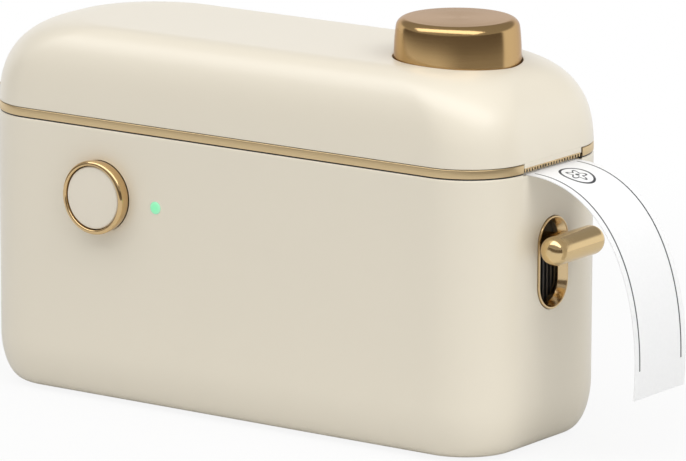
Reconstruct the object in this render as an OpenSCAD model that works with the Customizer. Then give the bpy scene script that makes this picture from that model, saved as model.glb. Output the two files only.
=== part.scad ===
// Desktop thermal label printer: tub-shaped base, domed hinged lid with a print
// knob, a sprung side lever that drops the label cutter, and a roll-fed tape path.
// +X points at the label exit, -Y at the front, +Z up. Origin: centre of the pad's
// resting face.

/* [Body] */
// Length of the body
body_l = 105; // [100:0.5:115]
// Depth of the body
body_d = 39.3; // [38.5:0.1:44]
// Height of the base, up to the seam
seam_z = 47.3; // [46.5:0.1:52]
// Corner radius in plan
corner_r = 11; // [9:0.5:12.5]
// Wall of the base
base_wall = 2; // [1.6:0.1:2.4]
// Width of the rounding under the base
edge_run = 3.5; // [2.5:0.1:4.5]
// Height of the rounding under the base
edge_rise = 8.7; // [6:0.1:10]
// How far the pad stands below the base
pad_proud = 0.5; // [0.3:0.1:1]
// Thickness of the pad
pad_t = 1.2; // [1:0.1:1.5]

/* [Seam band] */
// Height of the band
band_h = 1.6; // [1:0.1:2]
// Wall of the band
band_t = 1.1; // [0.8:0.1:1.2]
// Gap between the band and the lid
seam_gap = 0.15; // [0.1:0.05:0.3]
// Width of the label exit
exit_w = 17.2; // [17:0.1:18]

/* [Lid] */
// Height of the lid above the seam
lid_rise = 16.15; // [15.6:0.05:19]
// Wall of the lid
lid_wall = 1.6; // [1.4:0.1:2]
// How far the lid rounds in from its ends
dome_run_x = 14.6; // [12:0.1:16]
// How far the lid rounds in from its sides
dome_run_y = 8; // [7:0.1:9]
// Exponent of the dome: 2 is an ellipse, more is squarer
dome_power = 2.68; // [2:0.01:3.2]
// Extra plan radius at the top of the dome
dome_round = 4.4; // [3:0.1:5]

/* [Knob] */
// Radius of the print knob
knob_r = 10.5; // [9.5:0.1:11]
// Height of the knob above the lid
knob_h = 6.4; // [5:0.1:8]
// Taper of the knob's side, per side
knob_taper = 0.45; // [0:0.05:1]
// Fillet round the knob's top
knob_fillet = 1.5; // [1:0.1:2.5]
// Travel of the knob
knob_travel = 1.5; // [1:0.1:2]
// Distance from the knob to the exit end
knob_from_end = 19; // [17:0.5:21]
// Radius of the knob's stem
stem_r = 2.2; // [1.8:0.1:2.6]

/* [Power button] */
// Radius of the button cap
cap_r = 5.35; // [4.5:0.05:6]
// Wall of the button's ring
ring_wall = 0.55; // [0.45:0.05:1.2]
// How far the ring stands off the wall
ring_proud = 2.4; // [1.5:0.1:3.5]
// Travel of the button
cap_travel = 0.8; // [0.4:0.1:1]
// Distance from the button to the middle of the body
button_from_mid = 25.4; // [22:0.1:28]
// Depth of the button below the seam
button_drop = 11.4; // [10:0.1:14]
// Distance from the button to the status light
light_pitch = 11.6; // [9.5:0.1:13]
// Distance from the button's centre down to the status light
light_drop = 0.6; // [0:0.1:1.5]
// Radius of the status light
light_r = 1.05; // [0.8:0.05:1.5]

/* [Cutter lever] */
// Width of the lever slot's rim
rim_w = 8.6; // [8.6:0.1:10]
// Height of the lever slot's rim
rim_h = 15.5; // [15:0.1:17]
// Wall of the rim
rim_wall = 1; // [0.6:0.05:1.1]
// Wall of the rim at its mouth
rim_lip = 0.3; // [0.25:0.05:0.55]
// Depth of the rim's lower end below the seam
rim_drop = 23.7; // [23.5:0.1:25]
// Radius of the lever's bar
bar_r = 2.45; // [2:0.05:2.6]
// Length of the lever's bar
bar_l = 14.4; // [12:0.1:16]
// Distance from the bar's axis to the body
bar_reach = 3.9; // [3.5:0.1:6]
// Travel of the lever
cut_travel = 6.5; // [5:0.1:7]
// Thickness of the blade
blade_t = 0.6; // [0.4:0.05:0.8]
// Pitch of the blade's teeth
tooth_pitch = 0.9; // [0.7:0.05:1.4]

/* [Tape and roll] */
// Width of the label tape
tape_w = 15; // [14:0.5:15]
// Thickness of the tape
tape_t = 0.15; // [0.1:0.01:0.2]
// Radius of the label roll
roll_r = 20; // [16:0.5:20]
// Outer radius of the roll's core
core_r = 7.5; // [7:0.5:9]
// Wall of the roll's core
core_wall = 1.2; // [0.8:0.1:1.5]
// Reach of the printed label beyond the body
label_reach = 20.8; // [16:0.1:26]
// Fall of the printed label
label_fall = 34.7; // [20:0.1:36]

/* [Drive] */
// Radius of the platen roller
platen_r = 4; // [3.5:0.1:4.2]
// Distance from the platen's axis to the exit end
platen_from_end = 14.5; // [14.5:0.1:16]
// Radius of the platen's shaft
shaft_r = 1.5; // [1.2:0.1:1.8]
// Module of the gears
gear_m = 0.5; // [0.45:0.01:0.52]
// Width of each gear
gear_w = 2; // [1.5:0.1:2]
// Teeth of the motor pinion
pinion_teeth = 12; // [12:1:13]
// Teeth of the idler's large wheel
idler_big_teeth = 32; // [30:1:33]
// Teeth of the idler's small wheel
idler_small_teeth = 14; // [13:1:15]
// Teeth of the platen gear
platen_teeth = 20; // [18:1:21]
// Radius of the motor
motor_r = 8; // [6:0.5:8.5]

/* [Chassis] */
// Space between the chassis cheeks
cheek_gap = 19; // [18.6:0.1:19.4]
// Thickness of the cheeks
cheek_t = 1.5; // [1:0.1:1.6]

/* [Hinge] */
// Radius of the hinge knuckles
knuckle_r = 1.8; // [1.6:0.1:2]
// Radius of the hinge pin
hinge_pin_r = 0.9; // [0.7:0.05:1]
// Length of the hinge
hinge_l = 16; // [14:0.5:17]
// Thickness of the hinge leaves
leaf_t = 1; // [0.8:0.1:1.2]

/* [Fits] */
// Running clearance of a shaft in its bore
run_fit = 0.06; // [0.03:0.01:0.08]
// Clearance between sliding faces
slide_fit = 0.12; // [0.1:0.01:0.2]
// Gap round a part that moves through a cover
cover_gap = 0.3; // [0.2:0.05:0.4]

/* [Hidden] */
$fn = 48;

// Body planes
end_x = body_l/2;
side_y = body_d/2;
inner_x = end_x - base_wall;
inner_y = side_y - base_wall;
shell_z = pad_proud;
floor_z = shell_z + base_wall;
band_top = seam_z + band_h;
lid_z = band_top + seam_gap;
lid_top = seam_z + lid_rise;
edge_pull = 0.72;
corner_steps = 10;
dome_steps = 12;
edge_steps = 7;

// Tape plane: the tape's lower face lies just under the base's rim
tape_z = seam_z - 0.25;
exit_y = exit_w/2;
path_gap = 0.05;

// Control points of the label's centre line, level at the exit and falling beyond it
label_z = tape_z + tape_t/2;
label_curve = [
    [end_x, label_z],
    [end_x + 0.73*label_reach, label_z],
    [end_x + 1.08*label_reach, label_z - 0.465*label_fall],
    [end_x + label_reach, label_z - label_fall]
];

// Platen, gears and motor
platen_x = end_x - platen_from_end;
platen_z = tape_z - path_gap - platen_r;
pressure_angle = 25;
addendum = 0.9*gear_m;
dedendum = 1.15*gear_m;
backlash = 0.06;
train_rise_1 = 55;
train_rise_2 = 35;
idler_x = platen_x - mesh(platen_teeth, idler_small_teeth)*cos(train_rise_1);
idler_z = platen_z - mesh(platen_teeth, idler_small_teeth)*sin(train_rise_1);
motor_x = idler_x - mesh(idler_big_teeth, pinion_teeth)*cos(train_rise_2);
motor_z = idler_z - mesh(idler_big_teeth, pinion_teeth)*sin(train_rise_2);
motor_screw_r = 0.8;
motor_holes = [for (s = [-5.5, 5.5]) [motor_x - s*sin(train_rise_2), motor_z + s*cos(train_rise_2)]];
bush_r = shaft_r + 1.1;
motor_shaft_r = 0.8;
idler_shaft_r = 1;
cheek_in = cheek_gap/2;
cheek_out = cheek_in + cheek_t;
gear_near = cheek_out + 0.3;
gear_far = gear_near + gear_w + 0.2;

// Roll and its spindle
roll_z = tape_z - path_gap - roll_r;
roll_x = 8.5 - end_x + base_wall + roll_r;
bore_r = core_r - core_wall;
spindle_r = bore_r - run_fit;
tape_y = tape_w/2;

// Cutter: blade plane just inside the end wall, slide plate behind it
blade_x1 = inner_x + blade_t - slide_fit;
blade_x0 = blade_x1 - blade_t;
skin_x = blade_x1 + slide_fit;
slide_t = 1.5;
slide_x0 = blade_x0 - slide_t;
blade_y = tape_y + 1.8;
leg_y = tape_y + 0.4;
pocket_y = blade_y + 0.3;
rim_z = seam_z - rim_drop + rim_h/2;
rim_proud = 0.3;
rim_neck_w = rim_w - 0.5;
rim_neck_h = rim_h - 0.5;
flare_x = end_x + rim_proud - 1.45;
slot_w = rim_w - 2*rim_wall;
slot_h = rim_h - 2*rim_wall - 0.6;
neck_r = 1.7;
bar_x = end_x + bar_reach;
bar_z = rim_z + slot_h/2 - neck_r - 1.45;
teeth_z = tape_z + tape_t + 0.1;
bar_h = 3;
tooth_h = 0.5;
tongue_z = teeth_z + 1;
label_teeth = floor(2*leg_y/tooth_pitch) - 1;
slide_top = rim_z + slot_h/2 + cut_travel + 0.05;
slide_bottom = rim_z - slot_h/2 - 0.5;
rail_x = slide_x0 - 2.9;
rail_r = 1;
rail_y = blade_y + 2.6;
ear_r = 1.9;
ear_top = seam_z - 4;
ear_h = 6.8;
ear_foot = ear_top - ear_h;
lug_h = 2;
lug_x = rail_x - ear_r - 0.3;
stop_z = 16;
rivet_r = 0.4;
rivet_y = (leg_y + blade_y)/2;
rivet_heights = [ear_foot + 1.5, ear_foot + 4.5];

// Power button and light on the front wall
button_x = -button_from_mid;
button_z = seam_z - button_drop;
light_x = button_x + light_pitch;
light_z = button_z - light_drop;
ring_bore = cap_r + slide_fit;
ring_r = ring_bore + ring_wall;
neck_out = ring_r - 0.1;
wall_y = -side_y;

// Hinge, on an axis level with the seam just outside the end wall
hinge_x = -end_x - knuckle_r - 0.15;
hinge_z = band_top + seam_gap/2;
knuckle_gap = 0.15;
knuckle_pitch = hinge_l/5;
hinge_bore_r = hinge_pin_r + 0.05;
hinge_pad_t = 1.5;
leaf_y = hinge_l/2;
leaf_drop = 8.5;
leaf_rise = 4.6;
leaf_screw_r = 0.6;
leaf_screw_y = hinge_l*0.33;
base_screw_z = seam_z - 5.6;
lid_screw_z = lid_z + 2.6;
screw_tip = 1.2 - inner_x;

// Print knob, its well in the lid and the switch below
knob_x = end_x - knob_from_end;
well_r = knob_r + 0.2;
well_wall = 1.2;
well_floor = lid_top - 5.05;
well_under = well_floor - well_wall;
knob_z0 = well_floor + knob_travel + 0.3;
knob_z1 = lid_top + knob_h;
clip_t = 0.5;
clip_z = well_under - path_gap - clip_t;
stem_z0 = clip_z - 0.8;
button_top = stem_z0 - knob_travel - path_gap;
switch_h = 1.4;
pcb_z = button_top - switch_h - 0.8;

// Printhead bracket, hinged at its rear
head_x = platen_x;
head_z = tape_z + tape_t + path_gap;
pivot_x = head_x - 11;
pivot_z = head_z + 2.4;
pivot_r = 0.75;
head_y = tape_y + 0.6;

// Chassis, boards and charging port
chassis_z = floor_z + 1.5;
screw_r = 1;
screw_places = [for (x = [-end_x + 10, platen_x - 6], y = [-6, 6]) [x, y]];
cheek_end = platen_x + 5.4;
cheek_top = seam_z - 1.1;
stub_r = 3;
board_t = 1.2;
board_gap = 0.4;
board_y0 = -cheek_out - board_gap - board_t;
board_w = 60;
board_h = 34;
board_mid = roll_x + 8;
board_edge = 3;
board_z = chassis_z + board_h/2 + 2.5;
board_holes = [
    for (s = [[-1, -1, 0], [1, -1, 0], [1, 1, 2.5]])
        [board_mid + s[0]*(board_w/2 - board_edge), board_z + s[1]*(board_h/2 - board_edge) - s[2]]
];
switch_rise = 1.4;
battery_l = 48;
battery_h = 30;
battery_z = chassis_z + battery_h/2 + 2;
chip_y = board_y0 - 0.8;
switch_tip = board_y0 - switch_rise;
usb_w = 8.94;
usb_h = 3.26;
usb_l = 7.3;
charge_z = shell_z + 9.5;
charge_x = roll_x - roll_r - 2.6;
usb_z = charge_z + 1 + usb_h/2;

// Lid liner
liner_z = lid_z + 0.25;
liner_t = 1.2;
liner_gap = 0.4;
liner_posts = [for (x = [roll_x - roll_r - 3.5, motor_x - 14], y = [-12.5, 12.5]) [x, y]];
post_y = well_r + well_wall + 2.15;
board_posts = [[knob_x, -post_y], [knob_x, post_y]];

// Magnets under the lid, above strikes that lie on the upper guide lugs
magnet_r = 1.8;
magnet_h = 2;
magnet_x = rail_x + 0.6;
magnet_y = rail_y + 0.3;
strike_z = ear_top + cover_gap + lug_h;
strike_t = 0.8;
magnet_z = strike_z + strike_t + 0.2;

// ---- helpers ----
function mesh(a, b) = gear_m*(a + b)/2;

function quad(a, b, c, d) = [[a, d, c], [a, c, b]];

// One level of the body: a rounded rectangle, counter-clockwise from above
function plan_ring(hx, hy, r, z) = [
    for (c = [0:3], j = [0:corner_steps])
        let (a = 90*c + 90*j/corner_steps, sx = (c == 0 || c == 3) ? 1 : -1, sy = c < 2 ? 1 : -1)
            [sx*(hx - r) + r*cos(a), sy*(hy - r) + r*sin(a), z]
];

// A level of the base, inset from the wall by the rounding under it
function base_ring(z, inset, wall) = plan_ring(
    end_x - wall - inset, side_y - wall - inset,
    max(corner_r - wall - edge_pull*inset, 1), z);

// Levels of the base's rounded lower edge, an elliptical quarter
function edge_rings(z0, run, rise, wall) = [
    for (i = [0:edge_steps])
        let (t = 90*i/edge_steps)
            base_ring(z0 + rise*(1 - cos(t)), run*(1 - sin(t)), wall)
];

// A level of the lid's dome, a superellipse of height angle t
function dome_ring(t, wall) =
    let (u = 1 - pow(cos(t), 2/dome_power), hy = side_y - wall - (dome_run_y - wall)*u)
        plan_ring(
            end_x - wall - (dome_run_x - wall)*u, hy,
            min(corner_r - wall + dome_round*u, hy - 0.2),
            seam_z + (lid_rise - wall)*pow(sin(t), 2/dome_power));

// Height angle at which the dome of a given wall passes height z
function dome_angle(z, wall) = asin(pow((z - seam_z)/(lid_rise - wall), dome_power/2));

function dome_rings(z, wall, steps) =
    let (t0 = dome_angle(z, wall)) [for (i = [0:steps]) dome_ring(t0 + (89.6 - t0)*i/steps, wall)];

function reversed(v) = [for (i = [len(v) - 1:-1:0]) v[i]];

// Closed skin over a stack of equal rings
module loft(rings) {
    n = len(rings[0]);
    m = len(rings);
    walls = [
        for (k = [0:m - 2], i = [0:n - 1])
            let (j = (i + 1) % n)
                each quad(k*n + i, k*n + j, (k + 1)*n + j, (k + 1)*n + i)
    ];
    first_cap = [for (i = [0:n - 1]) i];
    last_cap = [for (i = [n - 1:-1:0]) (m - 1)*n + i];
    polyhedron([for (r = rings) each r], concat([first_cap], walls, [last_cap]), 6);
}

module block(x0, x1, y0, y1, z0, z1) {
    translate([x0, y0, z0]) cube([x1 - x0, y1 - y0, z1 - z0]);
}

module rod_x(x0, x1, y, z, r) {
    translate([x0, y, z]) rotate([0, 90, 0]) cylinder(h = x1 - x0, r = r);
}

module rod_y(y0, y1, x, z, r) {
    translate([x, y0, z]) rotate([-90, 0, 0]) cylinder(h = y1 - y0, r = r);
}

module rod_z(z0, z1, x, y, r) {
    translate([x, y, z0]) cylinder(h = z1 - z0, r = r);
}

// Extrudes an XZ profile from y0 to y1
module side_plate(y0, y1) {
    translate([0, y1, 0]) rotate([90, 0, 0]) linear_extrude(y1 - y0) children();
}

// Extrudes a YZ profile from x0 to x1
module end_plate(x0, x1) {
    translate([x0, 0, 0]) rotate([90, 0, 90]) linear_extrude(x1 - x0) children();
}

module stadium(w, h) {
    square([w, h - w], center = true);
    for (s = [-1, 1]) translate([0, s*(h - w)/2]) circle(w/2);
}

module rounded_plate(w, h, r) {
    square([w - 2*r, h], center = true);
    square([w, h - 2*r], center = true);
    for (sx = [-1, 1], sy = [-1, 1]) translate([sx*(w/2 - r), sy*(h/2 - r)]) circle(r);
}

module both_sides() {
    children();
    mirror([0, 1, 0]) children();
}

// Pan-head screw, head at the origin and shank along -Z
module screw(r, l) {
    cylinder(h = 1.1*r, r = 1.8*r);
    translate([0, 0, -l]) cylinder(h = l + 0.01, r = r);
}

// Compression spring standing from z0 to z1
module coil_spring(x, y, z0, z1, r, wire, turns) {
    steps = turns*12;
    sides = 5;
    translate([x, y, 0]) loft([
        for (i = [0:steps])
            let (a = 360*turns*i/steps, zc = z0 + wire + (z1 - z0 - 2*wire)*i/steps)
                [for (b = [0:sides - 1])
                    let (q = -360*b/sides, rr = r + wire*cos(q))
                        [rr*cos(a), rr*sin(a), zc + wire*sin(q)]]
    ]);
}

// Involute gear outline with a tooth (or a gap) pointing at angle aim
function inv(a) = tan(a)*180/PI - a;

function half_tooth(r, teeth) =
    let (pitch = gear_m*teeth/2, rb = pitch*cos(pressure_angle))
        90/teeth - backlash/pitch*45/PI + inv(pressure_angle) - inv(acos(min(rb/r, 1)));

module gear_2d(teeth, aim, tooth_at_aim = true) {
    pitch = gear_m*teeth/2;
    tip = pitch + addendum;
    root = pitch - dedendum;
    foot = max(root, pitch*cos(pressure_angle));
    flank = [for (i = [0:4]) foot + (tip - foot)*i/4];
    turn = aim + (tooth_at_aim ? 0 : 180/teeth);
    polygon([
        for (k = [0:teeth - 1]) let (c = turn + 360*k/teeth)
            each concat(
                [root*[cos(c - half_tooth(foot, teeth)), sin(c - half_tooth(foot, teeth))]],
                [for (r = flank) r*[cos(c - half_tooth(r, teeth)), sin(c - half_tooth(r, teeth))]],
                [for (r = reversed(flank)) r*[cos(c + half_tooth(r, teeth)), sin(c + half_tooth(r, teeth))]],
                [root*[cos(c + half_tooth(foot, teeth)), sin(c + half_tooth(foot, teeth))]])
    ]);
}

function bezier(p, t) = pow(1 - t, 3)*p[0] + 3*pow(1 - t, 2)*t*p[1] + 3*(1 - t)*t*t*p[2] + pow(t, 3)*p[3];

// ---- base ----
module base_shell() {
    color("antiquewhite") difference() {
        union() {
            loft(concat(
                edge_rings(shell_z, edge_run, edge_rise, 0),
                [base_ring(seam_z, 0, 0), base_ring(seam_z, 0, base_wall)],
                reversed(edge_rings(floor_z, edge_run, edge_rise - base_wall, base_wall))));
            cutter_lugs();
            for (p = screw_places) rod_z(floor_z - 0.5, chassis_z, p[0], p[1], 2.2);
            charge_posts();
            // pad behind the hinge leaf
            block(-inner_x - 0.5, hinge_pad_t - inner_x, -leaf_y - 1, leaf_y + 1,
                seam_z - leaf_drop - 2, seam_z - 0.6);
        }
        // blade pocket in the end wall, and the notch that the label lies in
        block(inner_x - 0.5, skin_x, -pocket_y, pocket_y, slide_bottom - cut_travel - 1, seam_z + 1);
        block(inner_x - 1, end_x + 1, -exit_y, exit_y, tape_z, seam_z + 1);
        // lever slot
        end_plate(skin_x - 1, end_x + 1) translate([0, rim_z]) stadium(rim_neck_w, rim_neck_h);
        // power button, status light and charging port
        rod_y(wall_y - 1, wall_y + base_wall + 1, button_x, button_z, neck_out);
        rod_y(wall_y - 1, wall_y + base_wall + 1, light_x, light_z, light_r);
        end_plate(-end_x - 1, 1 - inner_x) translate([0, usb_z]) rotate(90) stadium(usb_h, usb_w);
        // inlaid hinge leaf and its screws
        block(-end_x - 1, leaf_t - end_x, -leaf_y, leaf_y, seam_z - leaf_drop, seam_z + 1);
        both_sides() rod_x(-end_x, screw_tip, leaf_screw_y, base_screw_z, leaf_screw_r);
        // recess for the pad
        translate([0, 0, -1]) linear_extrude(1 + pad_t) pad_outline();
        for (p = screw_places) rod_z(floor_z - 0.6, chassis_z + 1, p[0], p[1], screw_r);
    }
}

module pad_outline() {
    rounded_plate(body_l - 2*edge_run - 5, body_d - 2*edge_run - 5, corner_r - edge_run - 1.5);
}

// Lugs that hold the cutter's guide rods, at the foot and just above the slide's ears
module cutter_lugs() {
    both_sides() difference() {
        for (z = [[floor_z + 4, stop_z], [ear_top + cover_gap, ear_top + cover_gap + lug_h]])
            block(lug_x, inner_x + 0.2, rail_y - ear_r, rail_y + ear_r - 0.3, z[0], z[1]);
        rod_z(stop_z - 5, seam_z, rail_x, rail_y, rail_r);
    }
}

module charge_posts() {
    both_sides() rod_z(floor_z - 0.5, charge_z, charge_x - 2, usb_w/2 + 2, 1.6);
}

module seam_band() {
    color("goldenrod") difference() {
        translate([0, 0, seam_z]) linear_extrude(band_h) difference() {
            rounded_plate(body_l, body_d, corner_r);
            rounded_plate(body_l - 2*band_t, body_d - 2*band_t, corner_r - band_t);
        }
        block(inner_x - 1, end_x + 1, -exit_y, exit_y, seam_z - 1, band_top + 1);
    }
}

module non_slip_pad() {
    color("dimgray") linear_extrude(pad_t) pad_outline();
}

module slot_escutcheon() {
    color("goldenrod") difference() {
        union() {
            end_plate(end_x, end_x + rim_proud) translate([0, rim_z]) stadium(rim_w, rim_h);
            end_plate(inner_x, end_x) translate([0, rim_z]) stadium(rim_neck_w, rim_neck_h);
        }
        end_plate(inner_x - 1, end_x) translate([0, rim_z]) stadium(slot_w, slot_h);
        // flared mouth
        hull() {
            end_plate(flare_x - 0.1, flare_x) translate([0, rim_z]) stadium(slot_w, slot_h);
            end_plate(end_x + rim_proud, end_x + rim_proud + 0.1) translate([0, rim_z])
                stadium(rim_w - 2*rim_lip, rim_h - 2*rim_lip);
        }
    }
}

// Ring round the power button: a rounded collar outside and a neck through the wall
module power_button_ring() {
    lip = ring_wall/2;
    color("goldenrod") translate([button_x, wall_y, button_z]) rotate([90, 0, 0]) rotate_extrude() {
        translate([ring_bore, 0]) square([ring_wall, ring_proud - lip]);
        translate([ring_bore + lip, ring_proud - lip]) circle(lip);
        translate([ring_bore, -base_wall]) square([neck_out - ring_bore, base_wall + 0.01]);
    }
}

module status_light_pipe() {
    color("aquamarine") {
        rod_y(wall_y - 0.15, chip_y, light_x, light_z, light_r);
        rod_y(wall_y + base_wall, wall_y + base_wall + 0.8, light_x, light_z, light_r + 0.6);
    }
}

module usb_port() {
    color("silver") translate([0, 0, usb_z]) {
        difference() {
            end_plate(0.3 - end_x, usb_l - end_x) rotate(90) stadium(usb_h, usb_w);
            end_plate(-end_x, usb_l - 1 - end_x) rotate(90) stadium(usb_h - 0.6, usb_w - 0.6);
        }
        block(1.2 - end_x, usb_l - 1 - end_x, -usb_w/2 + 1.1, usb_w/2 - 1.1, -0.35, 0.35);
    }
}

module charge_board() {
    color("darkgreen") difference() {
        block(0.5 - inner_x, charge_x, -usb_w/2 - 4, usb_w/2 + 4, charge_z, charge_z + 1);
        both_sides() rod_z(charge_z - 1, charge_z + 2, charge_x - 2, usb_w/2 + 2, 0.8);
    }
}

module battery_pack() {
    color("slategray") side_plate(cheek_out + 0.2, inner_y - 0.9) translate([roll_x + 3, battery_z])
        rounded_plate(battery_l, battery_h, 2);
}

module main_board() {
    color("darkgreen") side_plate(board_y0, board_y0 + board_t) difference() {
        translate([board_mid, board_z]) square([board_w, board_h], center = true);
        for (p = board_holes) translate(p) circle(screw_r);
    }
}

module board_chips() {
    front = board_y0;
    color("black") {
        block(board_mid + 2, board_mid + 9, front - 1, front, board_z - 2, board_z + 5);
        block(board_mid + 13, board_mid + 18, front - 0.9, front, board_z - 12, board_z - 8);
        block(board_mid - 12, board_mid - 4, front - 2.4, front, board_z - 13, board_z - 9);
        for (i = [0:2]) rod_y(front - 2.6, front, board_mid + 8 + 5*i, board_z + 12.5, 1.9);
        block(light_x - 0.8, light_x + 0.8, chip_y, front, light_z - 0.8, light_z + 0.8);
    }
}

module power_switch() {
    color("silver") {
        block(button_x - 3, button_x + 3, switch_tip + 0.4, board_y0, button_z - 3, button_z + 3);
        rod_y(switch_tip, board_y0, button_x, button_z, 1.6);
    }
}

// Folded chassis: two cheeks on a base plate
module cheek_outline() {
    difference() {
        polygon([
            [roll_x - roll_r - 2, chassis_z], [cheek_end, chassis_z], [cheek_end, cheek_top],
            [platen_x - 7, cheek_top], [motor_x - 9, roll_z + 12], [roll_x + 10, roll_z + 12],
            [roll_x + 6, roll_z + 9], [roll_x - 6, roll_z + 9], [roll_x - 12, roll_z - 2],
            [roll_x - roll_r - 2, roll_z - 10]
        ]);
        translate([roll_x, roll_z]) circle(stub_r + run_fit);
        translate([roll_x - stub_r - run_fit, roll_z]) square([2*(stub_r + run_fit), 20]);
        translate([platen_x, platen_z]) circle(bush_r);
        // lightening holes below the roll and the platen
        translate([roll_x + roll_r + 6, stop_z]) circle(6);
        translate([platen_x - 4, stop_z]) circle(7);
    }
}

module chassis() {
    color("gray") difference() {
        union() {
            block(roll_x - roll_r - 2, cheek_end, -cheek_out, cheek_out, chassis_z, chassis_z + 1.2);
            both_sides() side_plate(cheek_in, cheek_out) cheek_outline();
            for (p = board_holes) rod_y(board_y0 + board_t, -cheek_out + 0.1, p[0], p[1], 2);
        }
        rod_y(cheek_in - 1, cheek_out + 1, motor_x, motor_z, 3);
        rod_y(cheek_in - 1, cheek_out + 1, idler_x, idler_z, idler_shaft_r);
        for (p = motor_holes) rod_y(cheek_in - 1, cheek_out + 1, p[0], p[1], motor_screw_r);
        for (p = screw_places) rod_z(chassis_z - 1, chassis_z + 2, p[0], p[1], screw_r + 0.1);
        for (p = board_holes) rod_y(board_y0, -cheek_in + 1, p[0], p[1], screw_r);
    }
}

module chassis_screws() {
    color("silver") {
        for (p = screw_places) translate([p[0], p[1], chassis_z + 1.2]) screw(screw_r, 3.2);
        for (p = board_holes) translate([p[0], board_y0, p[1]]) rotate([90, 0, 0]) screw(screw_r, 3.6);
        both_sides() translate([charge_x - 2, usb_w/2 + 2, charge_z + 1]) screw(0.8, 1);
    }
}

module roll_spindle() {
    color("whitesmoke") difference() {
        union() {
            rod_y(-cheek_in + 0.2, cheek_in - 0.2, roll_x, roll_z, spindle_r);
            both_sides() rod_y(tape_y + 0.7, cheek_in - 0.3, roll_x, roll_z, core_r + 1.5);
            rod_y(-cheek_out, cheek_out, roll_x, roll_z, stub_r);
        }
        rod_y(-cheek_out - 1, cheek_out + 1, roll_x, roll_z, stub_r - 1.2);
    }
}

module drive_motor() {
    color("silver") difference() {
        union() {
            rod_y(3 - cheek_in, cheek_in - 1, motor_x, motor_z, motor_r);
            rod_y(1.6 - cheek_in, 3.1 - cheek_in, motor_x, motor_z, motor_r - 2.5);
            side_plate(cheek_in - 1, cheek_in) translate([motor_x, motor_z])
                square([2*motor_r - 3, 2*motor_r - 1], center = true);
            rod_y(cheek_in - 0.5, cheek_out, motor_x, motor_z, 2.6);
        }
        rod_y(cheek_in - 8, cheek_out + 1, motor_x, motor_z, motor_shaft_r + run_fit);
        for (p = motor_holes) rod_y(cheek_in - 3, cheek_in + 1, p[0], p[1], motor_screw_r);
    }
}

module motor_screws() {
    color("silver") for (p = motor_holes) {
        rod_y(cheek_out, cheek_out + 0.8, p[0], p[1], 1.5);
        rod_y(cheek_in - 2.5, cheek_out, p[0], p[1], motor_screw_r);
    }
}

module idler_shaft() {
    color("silver") {
        rod_y(cheek_in, gear_far + gear_w + 0.1, idler_x, idler_z, idler_shaft_r);
        rod_y(gear_far + gear_w + 0.1, gear_far + gear_w + 0.5, idler_x, idler_z, idler_shaft_r + 0.7);
    }
}

module platen_bushings() {
    color("goldenrod") both_sides() difference() {
        union() {
            rod_y(cheek_in, cheek_out, platen_x, platen_z, bush_r);
            rod_y(cheek_in - 0.5, cheek_in, platen_x, platen_z, bush_r + 0.6);
        }
        rod_y(cheek_in - 1, cheek_out + 1, platen_x, platen_z, shaft_r + run_fit);
    }
}

module cutter_guide_rods() {
    color("silver") both_sides() rod_z(stop_z - 5, strike_z - path_gap, rail_x, rail_y, rail_r);
}

module cutter_return_springs() {
    color("silver") for (s = [-1, 1])
        coil_spring(rail_x, s*rail_y, stop_z, ear_foot, rail_r + 0.7, 0.3, 9);
}

// Bridge that carries the label from the platen to the blade
module tape_guide() {
    color("dimgray") difference() {
        block(platen_x + platen_r + 0.6, slide_x0 - 0.15, -cheek_in, cheek_in, tape_z - 1.8, tape_z);
        for (y = [-5.5, 0, 5.5])
            block(platen_x + platen_r + 1.6, slide_x0 - 1, y - 2, y + 2, tape_z - 2, tape_z - 0.8);
    }
}

module tape_web() {
    color("white") block(roll_x, blade_x0 - 0.15, -tape_y, tape_y, tape_z, tape_z + tape_t);
}

// Printed label: a thin strip along label_curve
module label_strip() {
    steps = 24;
    line = concat([[skin_x, label_z]], [for (i = [0:steps - 1]) bezier(label_curve, i/(steps - 1))]);
    slope = [for (i = [0:steps]) line[min(i + 1, steps)] - line[max(i - 1, 0)]];
    side = [for (d = slope) [-d[1], d[0]]*tape_t/2/norm(d)];
    upper = [for (i = [0:steps]) line[i] + side[i]];
    lower = [for (i = [0:steps]) line[i] - side[i]];
    color("white") side_plate(-tape_y, tape_y) polygon(concat(upper, reversed(lower)));
}

module strike_plates() {
    color("silver") both_sides() rod_z(strike_z, strike_z + strike_t, magnet_x, magnet_y, magnet_r);
}

// ---- hinge ----
// Span of knuckle k of five along the hinge
function knuckle_span(k) = [(k - 2.5)*knuckle_pitch + knuckle_gap/2, (k - 1.5)*knuckle_pitch - knuckle_gap/2];

// Barrel and web of one knuckle, up = 1 for the lid's leaf and -1 for the base's
module knuckle(k, up, bore) {
    y = knuckle_span(k);
    difference() {
        union() {
            rod_y(y[0], y[1], hinge_x, hinge_z, knuckle_r);
            side_plate(y[0], y[1]) polygon([
                [leaf_t - end_x, hinge_z + up*1.8], [leaf_t - end_x, hinge_z + up*3.6],
                [-end_x - 0.3, hinge_z + up*3.6], [hinge_x - 1.1, hinge_z + up*1.4], [hinge_x, hinge_z],
                [-end_x - 0.15, hinge_z + up*0.1], [-end_x - 0.15, hinge_z + up*1.8]
            ]);
        }
        rod_y(y[0] - 1, y[1] + 1, hinge_x, hinge_z, bore);
    }
}

module leaf_holes(z) {
    both_sides() {
        rod_x(-end_x - 1, leaf_t + 1 - end_x, leaf_screw_y, z, leaf_screw_r);
        rod_x(-end_x - 1, leaf_t/2 - end_x, leaf_screw_y, z, leaf_screw_r*2);
    }
}

module leaf_screws(z) {
    both_sides() {
        rod_x(0.1 - end_x, leaf_t/2 - end_x, leaf_screw_y, z, leaf_screw_r*2);
        rod_x(leaf_t/2 - end_x, screw_tip, leaf_screw_y, z, leaf_screw_r);
    }
}

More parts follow.
